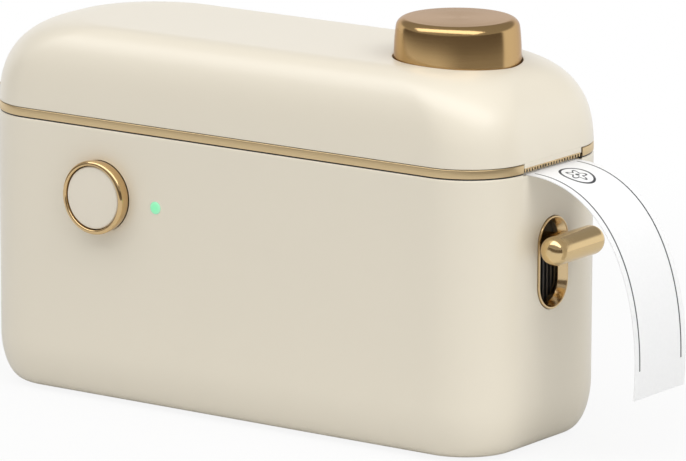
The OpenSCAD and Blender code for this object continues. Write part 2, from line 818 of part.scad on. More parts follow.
module hinge_base_leaf() {
    color("goldenrod") difference() {
        union() {
            block(-end_x, leaf_t - end_x, -leaf_y, leaf_y, seam_z - leaf_drop, seam_z);
            for (k = [0, 2, 4]) knuckle(k, -1, hinge_pin_r);
        }
        leaf_holes(base_screw_z);
    }
}

module hinge_lid_leaf() {
    color("goldenrod") difference() {
        union() {
            block(-end_x, leaf_t - end_x, -leaf_y, leaf_y, hinge_z + 1.8, lid_z + leaf_rise);
            for (k = [1, 3]) knuckle(k, 1, hinge_bore_r);
        }
        leaf_holes(lid_screw_z);
    }
}

module hinge_pin() {
    color("silver") {
        rod_y(-leaf_y - 0.2, leaf_y + 0.2, hinge_x, hinge_z, hinge_pin_r);
        both_sides() rod_y(leaf_y, leaf_y + 0.5, hinge_x, hinge_z, hinge_pin_r + 0.4);
    }
}

module hinge_base_screws() {
    color("silver") leaf_screws(base_screw_z);
}

module hinge_lid_screws() {
    color("silver") leaf_screws(lid_screw_z);
}

// ---- lid ----
module lid_shell() {
    dome = dome_rings(lid_z, 0, dome_steps);
    hollow = dome_rings(lid_z, lid_wall, dome_steps - 2);
    color("antiquewhite") difference() {
        union() {
            loft(concat(reversed(hollow), dome));
            // knob well, liner posts and magnet carriers, trimmed inside the wall
            intersection() {
                loft(dome_rings(lid_z + 0.4, lid_wall/2, dome_steps - 4));
                union() {
                    rod_z(well_under, lid_top, knob_x, 0, well_r + well_wall);
                    for (p = liner_posts) rod_z(liner_z + liner_t, lid_top, p[0], p[1], 2.4);
                    for (p = board_posts) rod_z(pcb_z + 0.8, lid_top, p[0], p[1], 1.8);
                    both_sides() rod_z(lid_z + 1, lid_z + 7.5, magnet_x, magnet_y, magnet_r + 0.7);
                    block(-inner_x, hinge_pad_t - inner_x, -leaf_y - 1, leaf_y + 1,
                        liner_z + liner_t + 0.1, lid_z + leaf_rise + 2);
                }
            }
            both_sides() rod_z(magnet_z + 0.1, lid_z + 2, magnet_x, magnet_y, magnet_r + 0.7);
            // tongue that closes the exit down to the blade
            block(skin_x + 0.05, end_x - 0.05, 0.25 - exit_y, exit_y - 0.25,
                tongue_z, lid_z + 0.6);
        }
        // knob well and the bore for the stem
        rod_z(well_floor, lid_top + 1, knob_x, 0, well_r);
        rod_z(well_under - 1, well_floor + 1, knob_x, 0, stem_r + run_fit);
        // blade pocket
        block(blade_x0 - 1, skin_x, -pocket_y, pocket_y, lid_z - 1, teeth_z + bar_h + 0.4);
        // magnets, screws and inlaid hinge leaf
        both_sides() rod_z(magnet_z - 1, magnet_z + magnet_h, magnet_x, magnet_y, magnet_r);
        for (p = liner_posts) rod_z(liner_z, liner_z + liner_t + 5, p[0], p[1], 0.8);
        for (p = board_posts) rod_z(pcb_z, pcb_z + 5, p[0], p[1], 0.8);
        block(-end_x - 1, leaf_t - end_x, -leaf_y, leaf_y, lid_z - 1, lid_z + leaf_rise);
        both_sides() rod_x(-end_x, screw_tip, leaf_screw_y, lid_screw_z, leaf_screw_r);
    }
}

// Plate that closes the underside of the lid, open over the roll and the printhead
module lid_liner() {
    inset = lid_wall + liner_gap;
    color("dimgray") difference() {
        union() {
            translate([0, 0, liner_z]) linear_extrude(liner_t)
                rounded_plate(body_l - 2*inset, body_d - 2*inset, corner_r - inset);
            // ears for the printhead's pivot
            both_sides() side_plate(head_y + 1.6, head_y + 2.9) translate([pivot_x, pivot_z])
                rounded_plate(5, 3.6, 1);
        }
        for (w = [
            [roll_x - roll_r - 1, roll_x + roll_r + 1, head_y + 1.3],
            [pivot_x - 2.5, head_x + 8, head_y + 1.6],
            [slide_x0, end_x, pocket_y + 0.3]
        ]) block(w[0], w[1], -w[2], w[2], liner_z - 1, liner_z + 2);
        both_sides() rod_z(liner_z - 1, liner_z + 2, magnet_x, magnet_y, magnet_r + 0.9);
        for (p = liner_posts) rod_z(liner_z - 1, liner_z + 2, p[0], p[1], 0.9);
        both_sides() rod_y(head_y + 1, head_y + 4, pivot_x, pivot_z, pivot_r);
    }
}

module liner_screws() {
    color("silver") {
        for (p = liner_posts) translate([p[0], p[1], liner_z]) rotate([180, 0, 0]) screw(0.8, 5);
        for (p = board_posts) translate([p[0], p[1], pcb_z]) rotate([180, 0, 0]) screw(0.8, 4);
    }
}

module lid_magnets() {
    color("silver") both_sides() rod_z(magnet_z, magnet_z + magnet_h, magnet_x, magnet_y, magnet_r);
}

module print_switch_board() {
    color("darkgreen") difference() {
        block(knob_x - 5, knob_x + 5, -post_y - 1.8, post_y + 1.8, pcb_z, pcb_z + 0.8);
        for (p = board_posts) rod_z(pcb_z - 1, pcb_z + 2, p[0], p[1], 0.8);
    }
}

module print_switch() {
    color("black") {
        block(knob_x - 2.3, knob_x + 2.3, -2.3, 2.3, pcb_z + 0.8, button_top - 0.4);
        rod_z(button_top - 0.5, button_top, knob_x, 0, 1.2);
    }
}

module knob_spring() {
    color("silver") coil_spring(knob_x, 0, well_floor, knob_z1 - 2, 5.2, 0.35, 5);
}

module head_springs() {
    color("silver") for (s = [-1, 1])
        coil_spring(head_x + 3.5, 4.5*s, head_z + 3.55, well_under, 1.5, 0.25, 5);
}

module head_pivot_pin() {
    color("silver") rod_y(-head_y - 2.9, head_y + 2.9, pivot_x, pivot_z, pivot_r);
}

// ---- print knob ----
module print_knob() {
    fillet_r = knob_r - knob_taper - knob_fillet;
    fillet_z = knob_z1 - knob_fillet;
    color("goldenrod") translate([knob_x, 0, 0]) rotate_extrude() difference() {
        polygon(concat(
            [[stem_r, knob_z0], [knob_r, knob_z0], [knob_r, lid_top]],
            [for (a = [0:11.25:90]) [fillet_r + knob_fillet*cos(a), fillet_z + knob_fillet*sin(a)]],
            [[0, knob_z1], [0, knob_z0 + 6], [stem_r, knob_z0 + 6]]));
        translate([stem_r + 1.4, knob_z0 - 1]) square([knob_r - stem_r - 2.9, knob_z1 - knob_z0 - 1]);
    }
}

module knob_stem() {
    color("silver") translate([knob_x, 0, 0]) difference() {
        translate([0, 0, stem_z0]) cylinder(h = knob_z0 + 6 - stem_z0, r = stem_r);
        translate([0, 0, clip_z]) difference() {
            cylinder(h = clip_t, r = stem_r + 1);
            translate([0, 0, -1]) cylinder(h = clip_t + 2, r = stem_r - 0.5);
        }
    }
}

module knob_retaining_ring() {
    color("silver") translate([knob_x, 0, clip_z]) linear_extrude(clip_t) difference() {
        circle(stem_r + 1.3);
        circle(stem_r - 0.5);
        translate([0, -stem_r/2]) square([stem_r + 2, stem_r]);
    }
}

// ---- power button ----
module power_button_cap() {
    front = ring_proud - 0.15;
    back = switch_tip - cap_travel - path_gap - wall_y;
    dome = 0.35;
    color("antiquewhite") translate([button_x, wall_y, button_z]) rotate([90, 0, 0]) rotate_extrude()
        polygon(concat(
            [[0, -back], [1.6, -back], [1.6, -base_wall - 0.8], [neck_out + 0.3, -base_wall - 0.8],
             [neck_out + 0.3, -base_wall - 0.1], [cap_r, -base_wall - 0.1], [cap_r, front - dome - 0.3]],
            [for (i = [1:6]) [cap_r*cos(15*i), front - dome + dome*sin(15*i)]]));
}

// ---- cutter ----
module lever_handle() {
    end_r = 2;
    flat = bar_r - end_r;
    color("goldenrod") {
        translate([bar_x, 0, bar_z]) rotate([90, 0, 0]) rotate_extrude() polygon(concat(
            [[0, -bar_l/2]],
            [for (i = [0:6]) [flat + end_r*sin(15*i), -bar_l/2 + end_r*(1 - cos(15*i))]],
            [for (i = [6:-1:0]) [flat + end_r*sin(15*i), bar_l/2 - end_r*(1 - cos(15*i))]],
            [[0, bar_l/2]]));
        rod_x(blade_x0, bar_x, 0, bar_z, neck_r);
        rod_x(slide_x0 - 0.4, bar_x, 0, bar_z, neck_r - 0.6);
    }
}

// Slide behind the slot: ribbed plate with an ear on each guide rod
module lever_slide() {
    rib_pitch = 1.1;
    color("black") difference() {
        union() {
            block(slide_x0, blade_x0, -blade_y, blade_y, slide_bottom, slide_top);
            both_sides() {
                block(rail_x - ear_r, slide_x0 + 0.5, blade_y - 2, blade_y, ear_foot, ear_top);
                block(rail_x - ear_r, rail_x + ear_r, blade_y - 0.5, rail_y + ear_r, ear_foot, ear_top);
            }
        }
        for (i = [-3:3])
            end_plate(blade_x0 - 0.4, blade_x0 + 1) translate([rib_pitch*i - 0.3, slide_bottom - 1])
                square([0.6, bar_z - neck_r + 0.5 - slide_bottom]);
        both_sides() rod_z(ear_foot - 1, ear_top + 1, rail_x, rail_y, rail_r + run_fit);
        rod_x(slide_x0 - 1, blade_x0 + 1, 0, bar_z, neck_r - 0.6);
        both_sides() for (z = rivet_heights) rod_x(slide_x0 - 1, blade_x0 + 1, rivet_y, z, rivet_r);
    }
}

// Guillotine blade: a toothed bar above the label on two legs
module cutter_blade() {
    color("gold") end_plate(blade_x0, blade_x1) difference() {
        polygon(concat(
            [[-blade_y, teeth_z + bar_h], [-blade_y, ear_foot]],
            [[-leg_y, ear_foot], [-leg_y, teeth_z + tooth_h]],
            [for (i = [0:label_teeth - 1]) each [
                [(i - label_teeth/2 + 0.5)*tooth_pitch, teeth_z],
                [(i - label_teeth/2 + 1)*tooth_pitch, teeth_z + tooth_h]]],
            [[leg_y, teeth_z + tooth_h], [leg_y, ear_foot]],
            [[blade_y, ear_foot], [blade_y, teeth_z + bar_h]]));
        for (s = [-1, 1], z = rivet_heights) translate([s*rivet_y, z]) circle(rivet_r);
    }
}

module blade_rivets() {
    color("silver") both_sides() for (z = rivet_heights)
        rod_x(slide_x0 - 0.3, blade_x1, rivet_y, z, rivet_r);
}

// ---- drive train ----
module platen_roller() {
    color("black") difference() {
        rod_y(-tape_y - 0.6, tape_y + 0.6, platen_x, platen_z, platen_r);
        rod_y(-tape_y - 1, tape_y + 1, platen_x, platen_z, shaft_r);
    }
}

module platen_shaft() {
    color("silver") rod_y(-cheek_out - 1, gear_near + gear_w, platen_x, platen_z, shaft_r);
}

module platen_gear() {
    color("ivory") difference() {
        union() {
            side_plate(gear_near, gear_near + gear_w) translate([platen_x, platen_z])
                gear_2d(platen_teeth, 180 + train_rise_1, false);
            rod_y(cheek_out + 0.1, gear_near, platen_x, platen_z, shaft_r + 1);
        }
        rod_y(cheek_out, gear_near + gear_w + 1, platen_x, platen_z, shaft_r);
    }
}

module idler_gear() {
    color("ivory") difference() {
        union() {
            side_plate(gear_near, gear_far) translate([idler_x, idler_z])
                gear_2d(idler_small_teeth, train_rise_1);
            side_plate(gear_far, gear_far + gear_w) translate([idler_x, idler_z])
                gear_2d(idler_big_teeth, 180 + train_rise_2);
        }
        rod_y(cheek_out, gear_far + gear_w + 1, idler_x, idler_z, idler_shaft_r + run_fit);
        for (a = [0:60:300])
            rod_y(gear_far - 1, gear_far + gear_w + 1, idler_x + 5.6*cos(a), idler_z + 5.6*sin(a), 1.2);
    }
}

module motor_pinion() {
    color("gold") {
        side_plate(gear_far, gear_far + gear_w) translate([motor_x, motor_z])
            gear_2d(pinion_teeth, train_rise_2, false);
        rod_y(cheek_in - 7, gear_far + gear_w + 0.4, motor_x, motor_z, motor_shaft_r);
    }
}

module label_roll() {
    color("white") difference() {
        rod_y(-tape_y, tape_y, roll_x, roll_z, roll_r);
        rod_y(-tape_y - 1, tape_y + 1, roll_x, roll_z, core_r);
    }
}

module roll_core() {
    color("peru") difference() {
        rod_y(-tape_y, tape_y, roll_x, roll_z, core_r);
        rod_y(-tape_y - 1, tape_y + 1, roll_x, roll_z, bore_r);
    }
}

// ---- printhead ----
module printhead() {
    color("lightgray") {
        block(head_x - 3, head_x + 3, -head_y, head_y, head_z, head_z + 1);
        block(head_x - 4.5, head_x + 5, -head_y, head_y, head_z + 1, head_z + 1.8);
        for (i = [-2:2]) block(head_x - 4.5, head_x + 5, 3*i - 0.6, 3*i + 0.6, head_z + 1.8, head_z + 2.75);
    }
}

module head_bracket() {
    color("silver") difference() {
        union() {
            block(pivot_x, head_x + 5, -head_y, head_y, head_z + 2.75, head_z + 3.55);
            both_sides() {
                rod_y(head_y - 0.8, head_y + 1.4, pivot_x, pivot_z, 1.5);
                block(pivot_x - 0.6, pivot_x + 1.4, head_y - 0.8, head_y, pivot_z, head_z + 3.55);
            }
        }
        rod_y(-head_y - 3, head_y + 3, pivot_x, pivot_z, pivot_r + run_fit);
    }
}

base_shell();
seam_band();
non_slip_pad();
slot_escutcheon();
power_button_ring();
status_light_pipe();
usb_port();
charge_board();
battery_pack();
main_board();
board_chips();
power_switch();
chassis();
chassis_screws();
roll_spindle();
drive_motor();
motor_screws();
idler_shaft();
platen_bushings();
cutter_guide_rods();
cutter_return_springs();
tape_guide();
tape_web();
label_strip();
strike_plates();
hinge_base_leaf();
hinge_pin();
hinge_base_screws();
lid_shell();
lid_liner();
liner_screws();
lid_magnets();
hinge_lid_leaf();
hinge_lid_screws();
print_switch_board();
print_switch();
knob_spring();
head_springs();
head_pivot_pin();
print_knob();
knob_stem();
knob_retaining_ring();
power_button_cap();
lever_handle();
lever_slide();
cutter_blade();
blade_rivets();
platen_roller();
platen_shaft();
platen_gear();
idler_gear();
motor_pinion();
label_roll();
roll_core();
printhead();
head_bracket();
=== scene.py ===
"""Thermal label printer: finished surfaces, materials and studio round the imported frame.

Lengths below are in millimetres in the part's own frame: +X is the label exit,
-Y the front, +Z up, and the origin is the centre of the resting face.
"""
import math

import bmesh
import bpy
import numpy as np
from mathutils import Matrix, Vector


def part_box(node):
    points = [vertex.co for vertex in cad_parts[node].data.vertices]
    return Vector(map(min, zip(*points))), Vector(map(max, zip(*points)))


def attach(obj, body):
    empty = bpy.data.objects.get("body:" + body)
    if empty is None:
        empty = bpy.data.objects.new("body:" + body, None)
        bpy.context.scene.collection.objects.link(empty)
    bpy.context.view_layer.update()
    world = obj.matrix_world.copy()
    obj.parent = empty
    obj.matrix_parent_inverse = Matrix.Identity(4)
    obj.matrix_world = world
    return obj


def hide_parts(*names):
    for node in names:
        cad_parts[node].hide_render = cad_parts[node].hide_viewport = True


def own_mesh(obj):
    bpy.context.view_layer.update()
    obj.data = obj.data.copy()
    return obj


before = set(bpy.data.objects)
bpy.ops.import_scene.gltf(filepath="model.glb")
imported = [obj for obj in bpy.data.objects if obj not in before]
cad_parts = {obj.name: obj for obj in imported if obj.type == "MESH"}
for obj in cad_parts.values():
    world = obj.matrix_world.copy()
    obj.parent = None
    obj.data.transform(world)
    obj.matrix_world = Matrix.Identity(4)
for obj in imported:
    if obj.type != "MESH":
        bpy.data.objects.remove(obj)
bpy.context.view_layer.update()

MM = 0.001


def span(node):
    """Lowest and highest corner of a CAD node, in millimetres."""
    low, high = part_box(node)
    return np.array(low)/MM, np.array(high)/MM


# ---- sizes read from the frame ----
base_low, base_high = span("base_shell")
band_low, band_high = span("seam_band")
knob_low, knob_high = span("print_knob")
ring_low, ring_high = span("power_button_ring")
cap_low, cap_high = span("power_button_cap")
light_low, light_high = span("status_light_pipe")
rim_low, rim_high = span("slot_escutcheon")
lever_low, lever_high = span("lever_handle")
tape_low, tape_high = span("label_strip")
port_low, port_high = span("usb_port")
leaf_low, leaf_high = span("hinge_base_leaf")
lid_leaf_high = span("hinge_lid_leaf")[1]
stem_high = span("knob_stem")[1]
core_low, core_high = span("roll_core")

END_X = base_high[0]
SIDE_Y = band_high[1]
SHELL_Z = base_low[2]
SEAM_Z = band_low[2]
BAND_TOP = band_high[2]
LID_TOP = span("lid_shell")[1][2]

# ---- sizes the surfaces share with the solids ----
CORNER_R = 11.0
# half lengths of the straight sides in plan
FLAT_X, FLAT_Y = END_X - CORNER_R, SIDE_Y - CORNER_R
WALL = 2.0
EDGE_RUN, EDGE_RISE, EDGE_PULL = 3.5, 8.7, 0.72
SEAM_GAP = 0.15
LID_Z = BAND_TOP + SEAM_GAP
LID_RISE = LID_TOP - SEAM_Z
LID_WALL = 1.6
DOME_X, DOME_Y, DOME_POWER, DOME_ROUND = 14.6, 8.0, 2.68, 4.4
EXIT_Y = 8.6
EXIT_DROP = 0.25
# width of the cells that make a step in a wall look sharp
STEP = 0.004
LEAF_T = 1.0

KNOB_X = (knob_low[0] + knob_high[0])/2
KNOB_R = (knob_high[0] - knob_low[0])/2
WELL_R = KNOB_R + 0.2
WELL_FLOOR = LID_TOP - 5.05
WELL_WALL = 1.2

BUTTON = np.array([(ring_low[0] + ring_high[0])/2, -SIDE_Y, (ring_low[2] + ring_high[2])/2])
RING_R = (ring_high[0] - ring_low[0])/2
RING_PROUD = -SIDE_Y - ring_low[1]
CAP_R = 5.35
LIGHT_X = (light_low[0] + light_high[0])/2
LIGHT_Z = (light_low[2] + light_high[2])/2
LIGHT_R = 1.05
RIM_Z = (rim_low[2] + rim_high[2])/2
RIM_W = rim_high[1] - rim_low[1]
RIM_H = rim_high[2] - rim_low[2]
RIM_WALL, RIM_LIP, RIM_FLARE = 1.0, 0.3, 1.45
TONGUE_Z = SEAM_Z + 0.85
PORT_Z = (port_low[2] + port_high[2])/2
PORT_W = port_high[1] - port_low[1]
PORT_H = port_high[2] - port_low[2]
BAR_R = (lever_high[2] - lever_low[2])/2
BAR_Z = (lever_high[2] + lever_low[2])/2
BAR_X = lever_high[0] - BAR_R
BAR_L = lever_high[1] - lever_low[1]
NECK_R = 1.7
# radius of the small flat at the pole of a turned shape
POLE_R = 0.02
# turns a distance out from the front wall into one along Y
OUTWARDS = np.array([1, -1])

TAPE_Y = tape_high[1]
TAPE_T = 0.15
TAPE_Z = tape_high[2] - TAPE_T/2
LABEL_REACH, LABEL_FALL = 20.8, 34.7


# ---- mesh helpers ----
def spread(breaks, step):
    """Values through all breaks, evenly spaced between neighbours at about step."""
    parts = [
        np.linspace(a, b, max(1, math.ceil((b - a)/step)) + 1)[:-1]
        for a, b in zip(breaks[:-1], breaks[1:])
    ]
    return np.concatenate(parts + [[breaks[-1]]])


def mirrored(*breaks):
    """Breaks at each value and at its negative."""
    return sorted([-v for v in breaks] + list(breaks))


def quarter_round(radius, count):
    """Pairs r (1 - cos t), r (1 - sin t) along a quarter circle, from (0, r) to (r, 0)."""
    t = np.linspace(0, math.pi/2, count)
    return np.column_stack([radius*(1 - np.cos(t)), radius*(1 - np.sin(t))])


def outline_columns(right, back, left, front, corner=22):
    """Columns round a rounded rectangle, counter-clockwise from the middle of its +X side.

    Each side is an array of factors from -1 to 1 along that side, and each corner is a
    fan of angles. Returned rows: factor in x, factor in y, and the corner angle.
    """
    fan = np.linspace(0, math.pi/2, corner + 1)[1:-1]
    sides = [
        (np.ones_like(right), right, np.zeros_like(right)),
        (-back, np.ones_like(back), np.full_like(back, math.pi/2)),
        (-np.ones_like(left), -left, np.full_like(left, math.pi)),
        (front, -np.ones_like(front), np.full_like(front, 1.5*math.pi)),
    ]
    corners = [(1, 1), (-1, 1), (-1, -1), (1, -1)]
    parts = []
    for k, (side, (sx, sy)) in enumerate(zip(sides, corners)):
        parts.append(np.stack(side))
        parts.append(np.stack([np.full_like(fan, sx), np.full_like(fan, sy), fan + k*math.pi/2]))
    return np.concatenate(parts, axis=1)


def loop(columns, half_x, half_y, radius):
    """Rounded rectangle: straight factors times (half size - radius), plus the corner arc."""
    fx, fy, angle = columns
    return np.stack([
        fx*(half_x - radius) + radius*np.cos(angle),
        fy*(half_y - radius) + radius*np.sin(angle),
    ], axis=-1)


def at_height(ring, z):
    """A plan outline laid at one height."""
    return np.column_stack([ring, np.full(len(ring), z)])


class Skin:
    """Collects grids of points and the quads between them, then makes one mesh."""

    def __init__(self):
        self.points, self.faces, self.count = [], [], 0

    def add(self, points):
        """Takes in an array of points and returns their numbers in the same grid."""
        points = np.asarray(points, float)
        index = self.count + np.arange(points[..., 0].size).reshape(points.shape[:-1])
        self.points.append(points.reshape(-1, 3))
        self.count += index.size
        return index

    def quads(self, index, closed=False, holes=()):
        """Quads over an index grid; closed joins the last column to the first."""
        if closed:
            index = np.concatenate([index, index[:, :1]], axis=1)
        keep = np.ones((index.shape[0] - 1, index.shape[1] - 1), bool)
        for r0, r1, c0, c1 in holes:
            keep[r0:r1, c0:c1] = False
        cells = np.stack([index[:-1, :-1], index[:-1, 1:], index[1:, 1:], index[1:, :-1]], axis=-1)
        self.faces += cells[keep].tolist()

    def grid(self, points, closed=False, holes=()):
        """Points and the quads between them in one go."""
        index = self.add(points)
        self.quads(index, closed, holes)
        return index

    def opening(self, index, holes, rim, steps=3):
        """Joins two rectangular holes, outside and inside a wall, by way of a rim curve in each."""
        edges = []
        for r0, r1, c0, c1 in holes:
            turn = 1 if r0 < r1 else -1
            edges.append(np.concatenate([
                index[r0, c0:c1], index[r0:r1:turn, c1], index[r1, c1:c0:-1], index[r1:r0:-turn, c0],
            ]))
        all_points = np.concatenate(self.points)
        outer, inner = all_points[edges[0]], all_points[edges[1]]
        share = np.linspace(0, 1, steps + 1)[1:, None, None]
        rings = np.concatenate([
            outer + (rim(outer) - outer)*share,
            (inner + (rim(inner) - inner)*share)[::-1],
        ])
        self.quads(np.concatenate([edges[0][None], self.add(rings), edges[1][None]]), closed=True)

    def stack(self, rings, holes=()):
        """Closed rings joined one to the next, with a face over the first and over the last."""
        index = self.grid(rings, True, holes)
        self.faces += [list(index[0, ::-1]), list(index[-1])]
        return index

    def make(self, name, angle=32.0, recalc=False, merge=True):
        """One object at the origin, shaded smooth, with creases where faces turn by more than angle.

        Doubled points are merged unless merge is off, and recalc turns all faces outwards.
        """
        mesh = bpy.data.meshes.new(name)
        mesh.from_pydata((np.concatenate(self.points)*MM).tolist(), [], self.faces)
        if merge or recalc:
            bm = bmesh.new()
            bm.from_mesh(mesh)
            bmesh.ops.remove_doubles(bm, verts=bm.verts, dist=1e-7)
            bmesh.ops.dissolve_degenerate(bm, edges=bm.edges, dist=1e-8)
            if recalc:
                bmesh.ops.recalc_face_normals(bm, faces=bm.faces)
            bm.to_mesh(mesh)
            bm.free()
        mesh.polygons.foreach_set("use_smooth", np.ones(len(mesh.polygons), bool))
        mesh.set_sharp_from_angle(angle=math.radians(angle))
        obj = bpy.data.objects.new(name, mesh)
        bpy.context.scene.collection.objects.link(obj)
        return obj


def make_solid(name, rings, **shading):
    """One piece from a stack of closed rings."""
    skin = Skin()
    skin.stack(rings)
    return skin.make(name, recalc=True, **shading)


def circle_rim(centre, radius, axes):
    """Curve for Skin.opening: each edge point goes radially onto a circle round centre."""
    def rim(points):
        """Edge points moved onto the circle."""
        out = points.copy()
        delta = points[:, axes] - np.array(centre)
        out[:, axes] = np.array(centre) + radius*delta/np.linalg.norm(delta, axis=1, keepdims=True)
        return out
    return rim


def stadium_rim(centre, half_w, half_h, axes):
    """Curve for Skin.opening: each edge point goes radially onto a stadium round centre.

    Along the direction (c, s) the straight side is met at half_w/|c|, if that is below
    the straight's end; otherwise the end arc is met at k s + sqrt(w^2 - k^2 c^2), with
    k the straight's half length and w half_w.
    """
    def rim(points):
        """Edge points moved onto the stadium."""
        out = points.copy()
        delta = points[:, axes] - np.array(centre)
        direction = delta/np.linalg.norm(delta, axis=1, keepdims=True)
        c, s = np.abs(direction[:, 0]), np.abs(direction[:, 1])
        straight = half_h - half_w
        side = half_w/np.maximum(c, 1e-9)
        arc = straight*s + np.sqrt(np.maximum(half_w**2 - (straight*c)**2, 0))
        reach = np.where(side*s <= straight, side, arc)
        out[:, axes] = np.array(centre) + direction*reach[:, None]
        return out
    return rim


def soft_path(corners, steps=8):
    """Polyline through corners (a, b, fillet), each corner replaced by an arc of that fillet."""
    points = []
    count = len(corners)
    for k, (a, b, fillet) in enumerate(corners):
        here = np.array([a, b], float)
        if fillet <= 0 or k in (0, count - 1):
            points.append(here)
            continue
        before = np.array(corners[k - 1][:2], float) - here
        after = np.array(corners[k + 1][:2], float) - here
        before /= np.linalg.norm(before)
        after /= np.linalg.norm(after)
        half = math.acos(float(np.clip(before @ after, -1, 1)))/2
        reach = fillet/math.tan(half)
        middle = here + (before + after)/np.linalg.norm(before + after)*fillet/math.sin(half)
        start, end = here + before*reach - middle, here + after*reach - middle
        sweep = math.pi - 2*half
        share = np.linspace(0, 1, steps + 1)[:, None]
        arc = (np.sin((1 - share)*sweep)*start + np.sin(share*sweep)*end)/math.sin(sweep)
        points.extend(middle + arc)
    return np.array(points)


def revolve(path, centre, axis, columns):
    """Turns (radius, height) pairs about an axis: a ring of points for each pair."""
    angle = np.linspace(0, 2*math.pi, columns, endpoint=False)
    radius, height = path[:, 0][:, None], path[:, 1][:, None]
    a, b = radius*np.cos(angle), radius*np.sin(angle)
    h = height + 0*angle
    order = {"x": (h, a, b), "y": (b, h, a), "z": (a, b, h)}[axis]
    return np.stack(order, axis=-1) + np.array(centre)


def make_turned(name, path, centre, axis, columns, **shading):
    """One turned piece that needs no end faces: its path ends on the axis or where it began."""
    skin = Skin()
    skin.grid(revolve(path, centre, axis, columns), closed=True)
    return skin.make(name, **shading)


def sink_leaf(points, half_y, beside):
    """Sets the left end wall back by the hinge leaf's thickness, at the heights in beside."""
    x, y = points[..., 0], points[..., 1]
    recess = (x < -END_X + LEAF_T) & (np.abs(y) <= half_y + STEP/2) & beside
    x[recess] = -END_X + LEAF_T


# ---- base ----
def base_ring(columns, z, inset, wall=0.0):
    """One level of the base, in from the wall by inset, with the plan radius following."""
    radius = max(CORNER_R - wall - EDGE_PULL*inset, 1.0)
    return at_height(loop(columns, END_X - wall - inset, SIDE_Y - wall - inset, radius), z)


def edge_levels(z0, run, rise, wall, count):
    """The base's lower edge: a quarter ellipse, z0 + rise (1 - cos t) high, run (1 - sin t) in."""
    return [(z0 + up, inset, wall) for up, inset in quarter_round(1.0, count)*[rise, run]]


def make_base():
    """The tub: one profile carried round the outline, up the wall, over the rim and down inside.

    The front has the button's and the light's openings, the right end the lever's slot,
    the left end the charging port and the recess of the hinge leaf.
    """
    # half sizes of the rectangles of cells that hold the openings; the slot's ends past its rim
    button_half, light_half, slot_half, port_half, port_rise, slot_past = 7.4, 1.7, 5.6, 5.6, 2.7, 0.9
    ring_gap, light_gap, slot_gap, port_gap = 0.12, 0.04, 0.1, 0.05
    cell, rim_r, fan = 0.62, 0.32, 22
    leaf_y, leaf_z = leaf_high[1], leaf_low[2]
    bx, bz = BUTTON[0], BUTTON[2]
    button_x, button_z = (bx - button_half, bx + button_half), (bz - button_half, bz + button_half)
    light_x = (LIGHT_X - light_half, LIGHT_X + light_half)
    light_z = (LIGHT_Z - light_half, LIGHT_Z + light_half)
    slot_z = (RIM_Z - RIM_H/2 - slot_past, RIM_Z + RIM_H/2 + slot_past)
    port_z = (PORT_Z - port_rise, PORT_Z + port_rise)
    front = spread([-FLAT_X, *button_x, *light_x, FLAT_X], cell)
    right = spread(mirrored(slot_half, EXIT_Y, EXIT_Y + STEP, FLAT_Y), 0.4)
    left = spread(mirrored(port_half, leaf_y, leaf_y + STEP, FLAT_Y), 0.5)
    back = spread(mirrored(FLAT_X), 1.2)
    columns = outline_columns(right/FLAT_Y, back/FLAT_X, left/FLAT_Y, front/FLAT_X, fan)
    heights = spread(sorted([
        SHELL_Z + EDGE_RISE, *port_z, *slot_z, *button_z, *light_z, leaf_z - STEP, leaf_z, SEAM_Z - rim_r,
    ]), cell)
    levels = edge_levels(SHELL_Z, EDGE_RUN, EDGE_RISE, 0, 22)[:-1]
    first_wall = len(levels)
    levels += [(z, 0.0, 0.0) for z in heights]
    levels += [(SEAM_Z - drop, inset, 0.0) for inset, drop in quarter_round(rim_r, 7)[1:]]
    levels += [(SEAM_Z, 0.0, WALL)]
    first_inner = len(levels)
    levels += [(z, 0.0, WALL) for z in heights[::-1]]
    levels += edge_levels(SHELL_Z + WALL, EDGE_RUN, EDGE_RISE - WALL, WALL, 8)[::-1]
    points = np.array([base_ring(columns, *level) for level in levels])
    x, y, z = points[..., 0], points[..., 1], points[..., 2]
    sink_leaf(points, leaf_y, z >= leaf_z - STEP/4)
    # the label lies in a shallow notch of the rim
    notch = (x > END_X - WALL - 0.5) & (np.abs(y) <= EXIT_Y + STEP/2)
    z[notch] = np.minimum(z[notch], SEAM_Z - EXIT_DROP)

    def block(side, start, across, rise):
        """The same rectangle of cells in the outer and in the inner wall."""
        c0, c1 = (start + int(np.argmin(np.abs(side - v))) for v in across)
        r0, r1 = (int(np.argmin(np.abs(heights - v))) for v in rise)
        last = first_inner + len(heights) - 1
        return (first_wall + r0, first_wall + r1, c0, c1), (last - r0, last - r1, c0, c1)

    at_back = len(right) + fan - 1
    at_left = at_back + len(back) + fan - 1
    at_front = at_left + len(left) + fan - 1
    button_hole = block(front, at_front, button_x, button_z)
    light_hole = block(front, at_front, light_x, light_z)
    slot_hole = block(right, 0, (-slot_half, slot_half), slot_z)
    # the left side runs towards -Y
    port_hole = block(-left, at_left, (port_half, -port_half), port_z)
    skin = Skin()
    holes = [(min(r0, r1), max(r0, r1), c0, c1)
             for pair in (button_hole, light_hole, slot_hole, port_hole) for r0, r1, c0, c1 in pair]
    index = skin.stack(points, holes)
    skin.opening(index, button_hole, circle_rim((bx, bz), RING_R + ring_gap, [0, 2]), 6)
    skin.opening(index, light_hole, circle_rim((LIGHT_X, LIGHT_Z), LIGHT_R + light_gap, [0, 2]))
    slot_edge = stadium_rim((0, RIM_Z), RIM_W/2 + slot_gap, RIM_H/2 + slot_gap, [1, 2])
    skin.opening(index, slot_hole, slot_edge, 4)
    # the stadium's long way lies along Y at the port
    port_edge = stadium_rim((PORT_Z, 0), PORT_H/2 + port_gap, PORT_W/2 + port_gap, [2, 1])
    skin.opening(index, port_hole, port_edge, 4)
    return skin.make("base_skin")


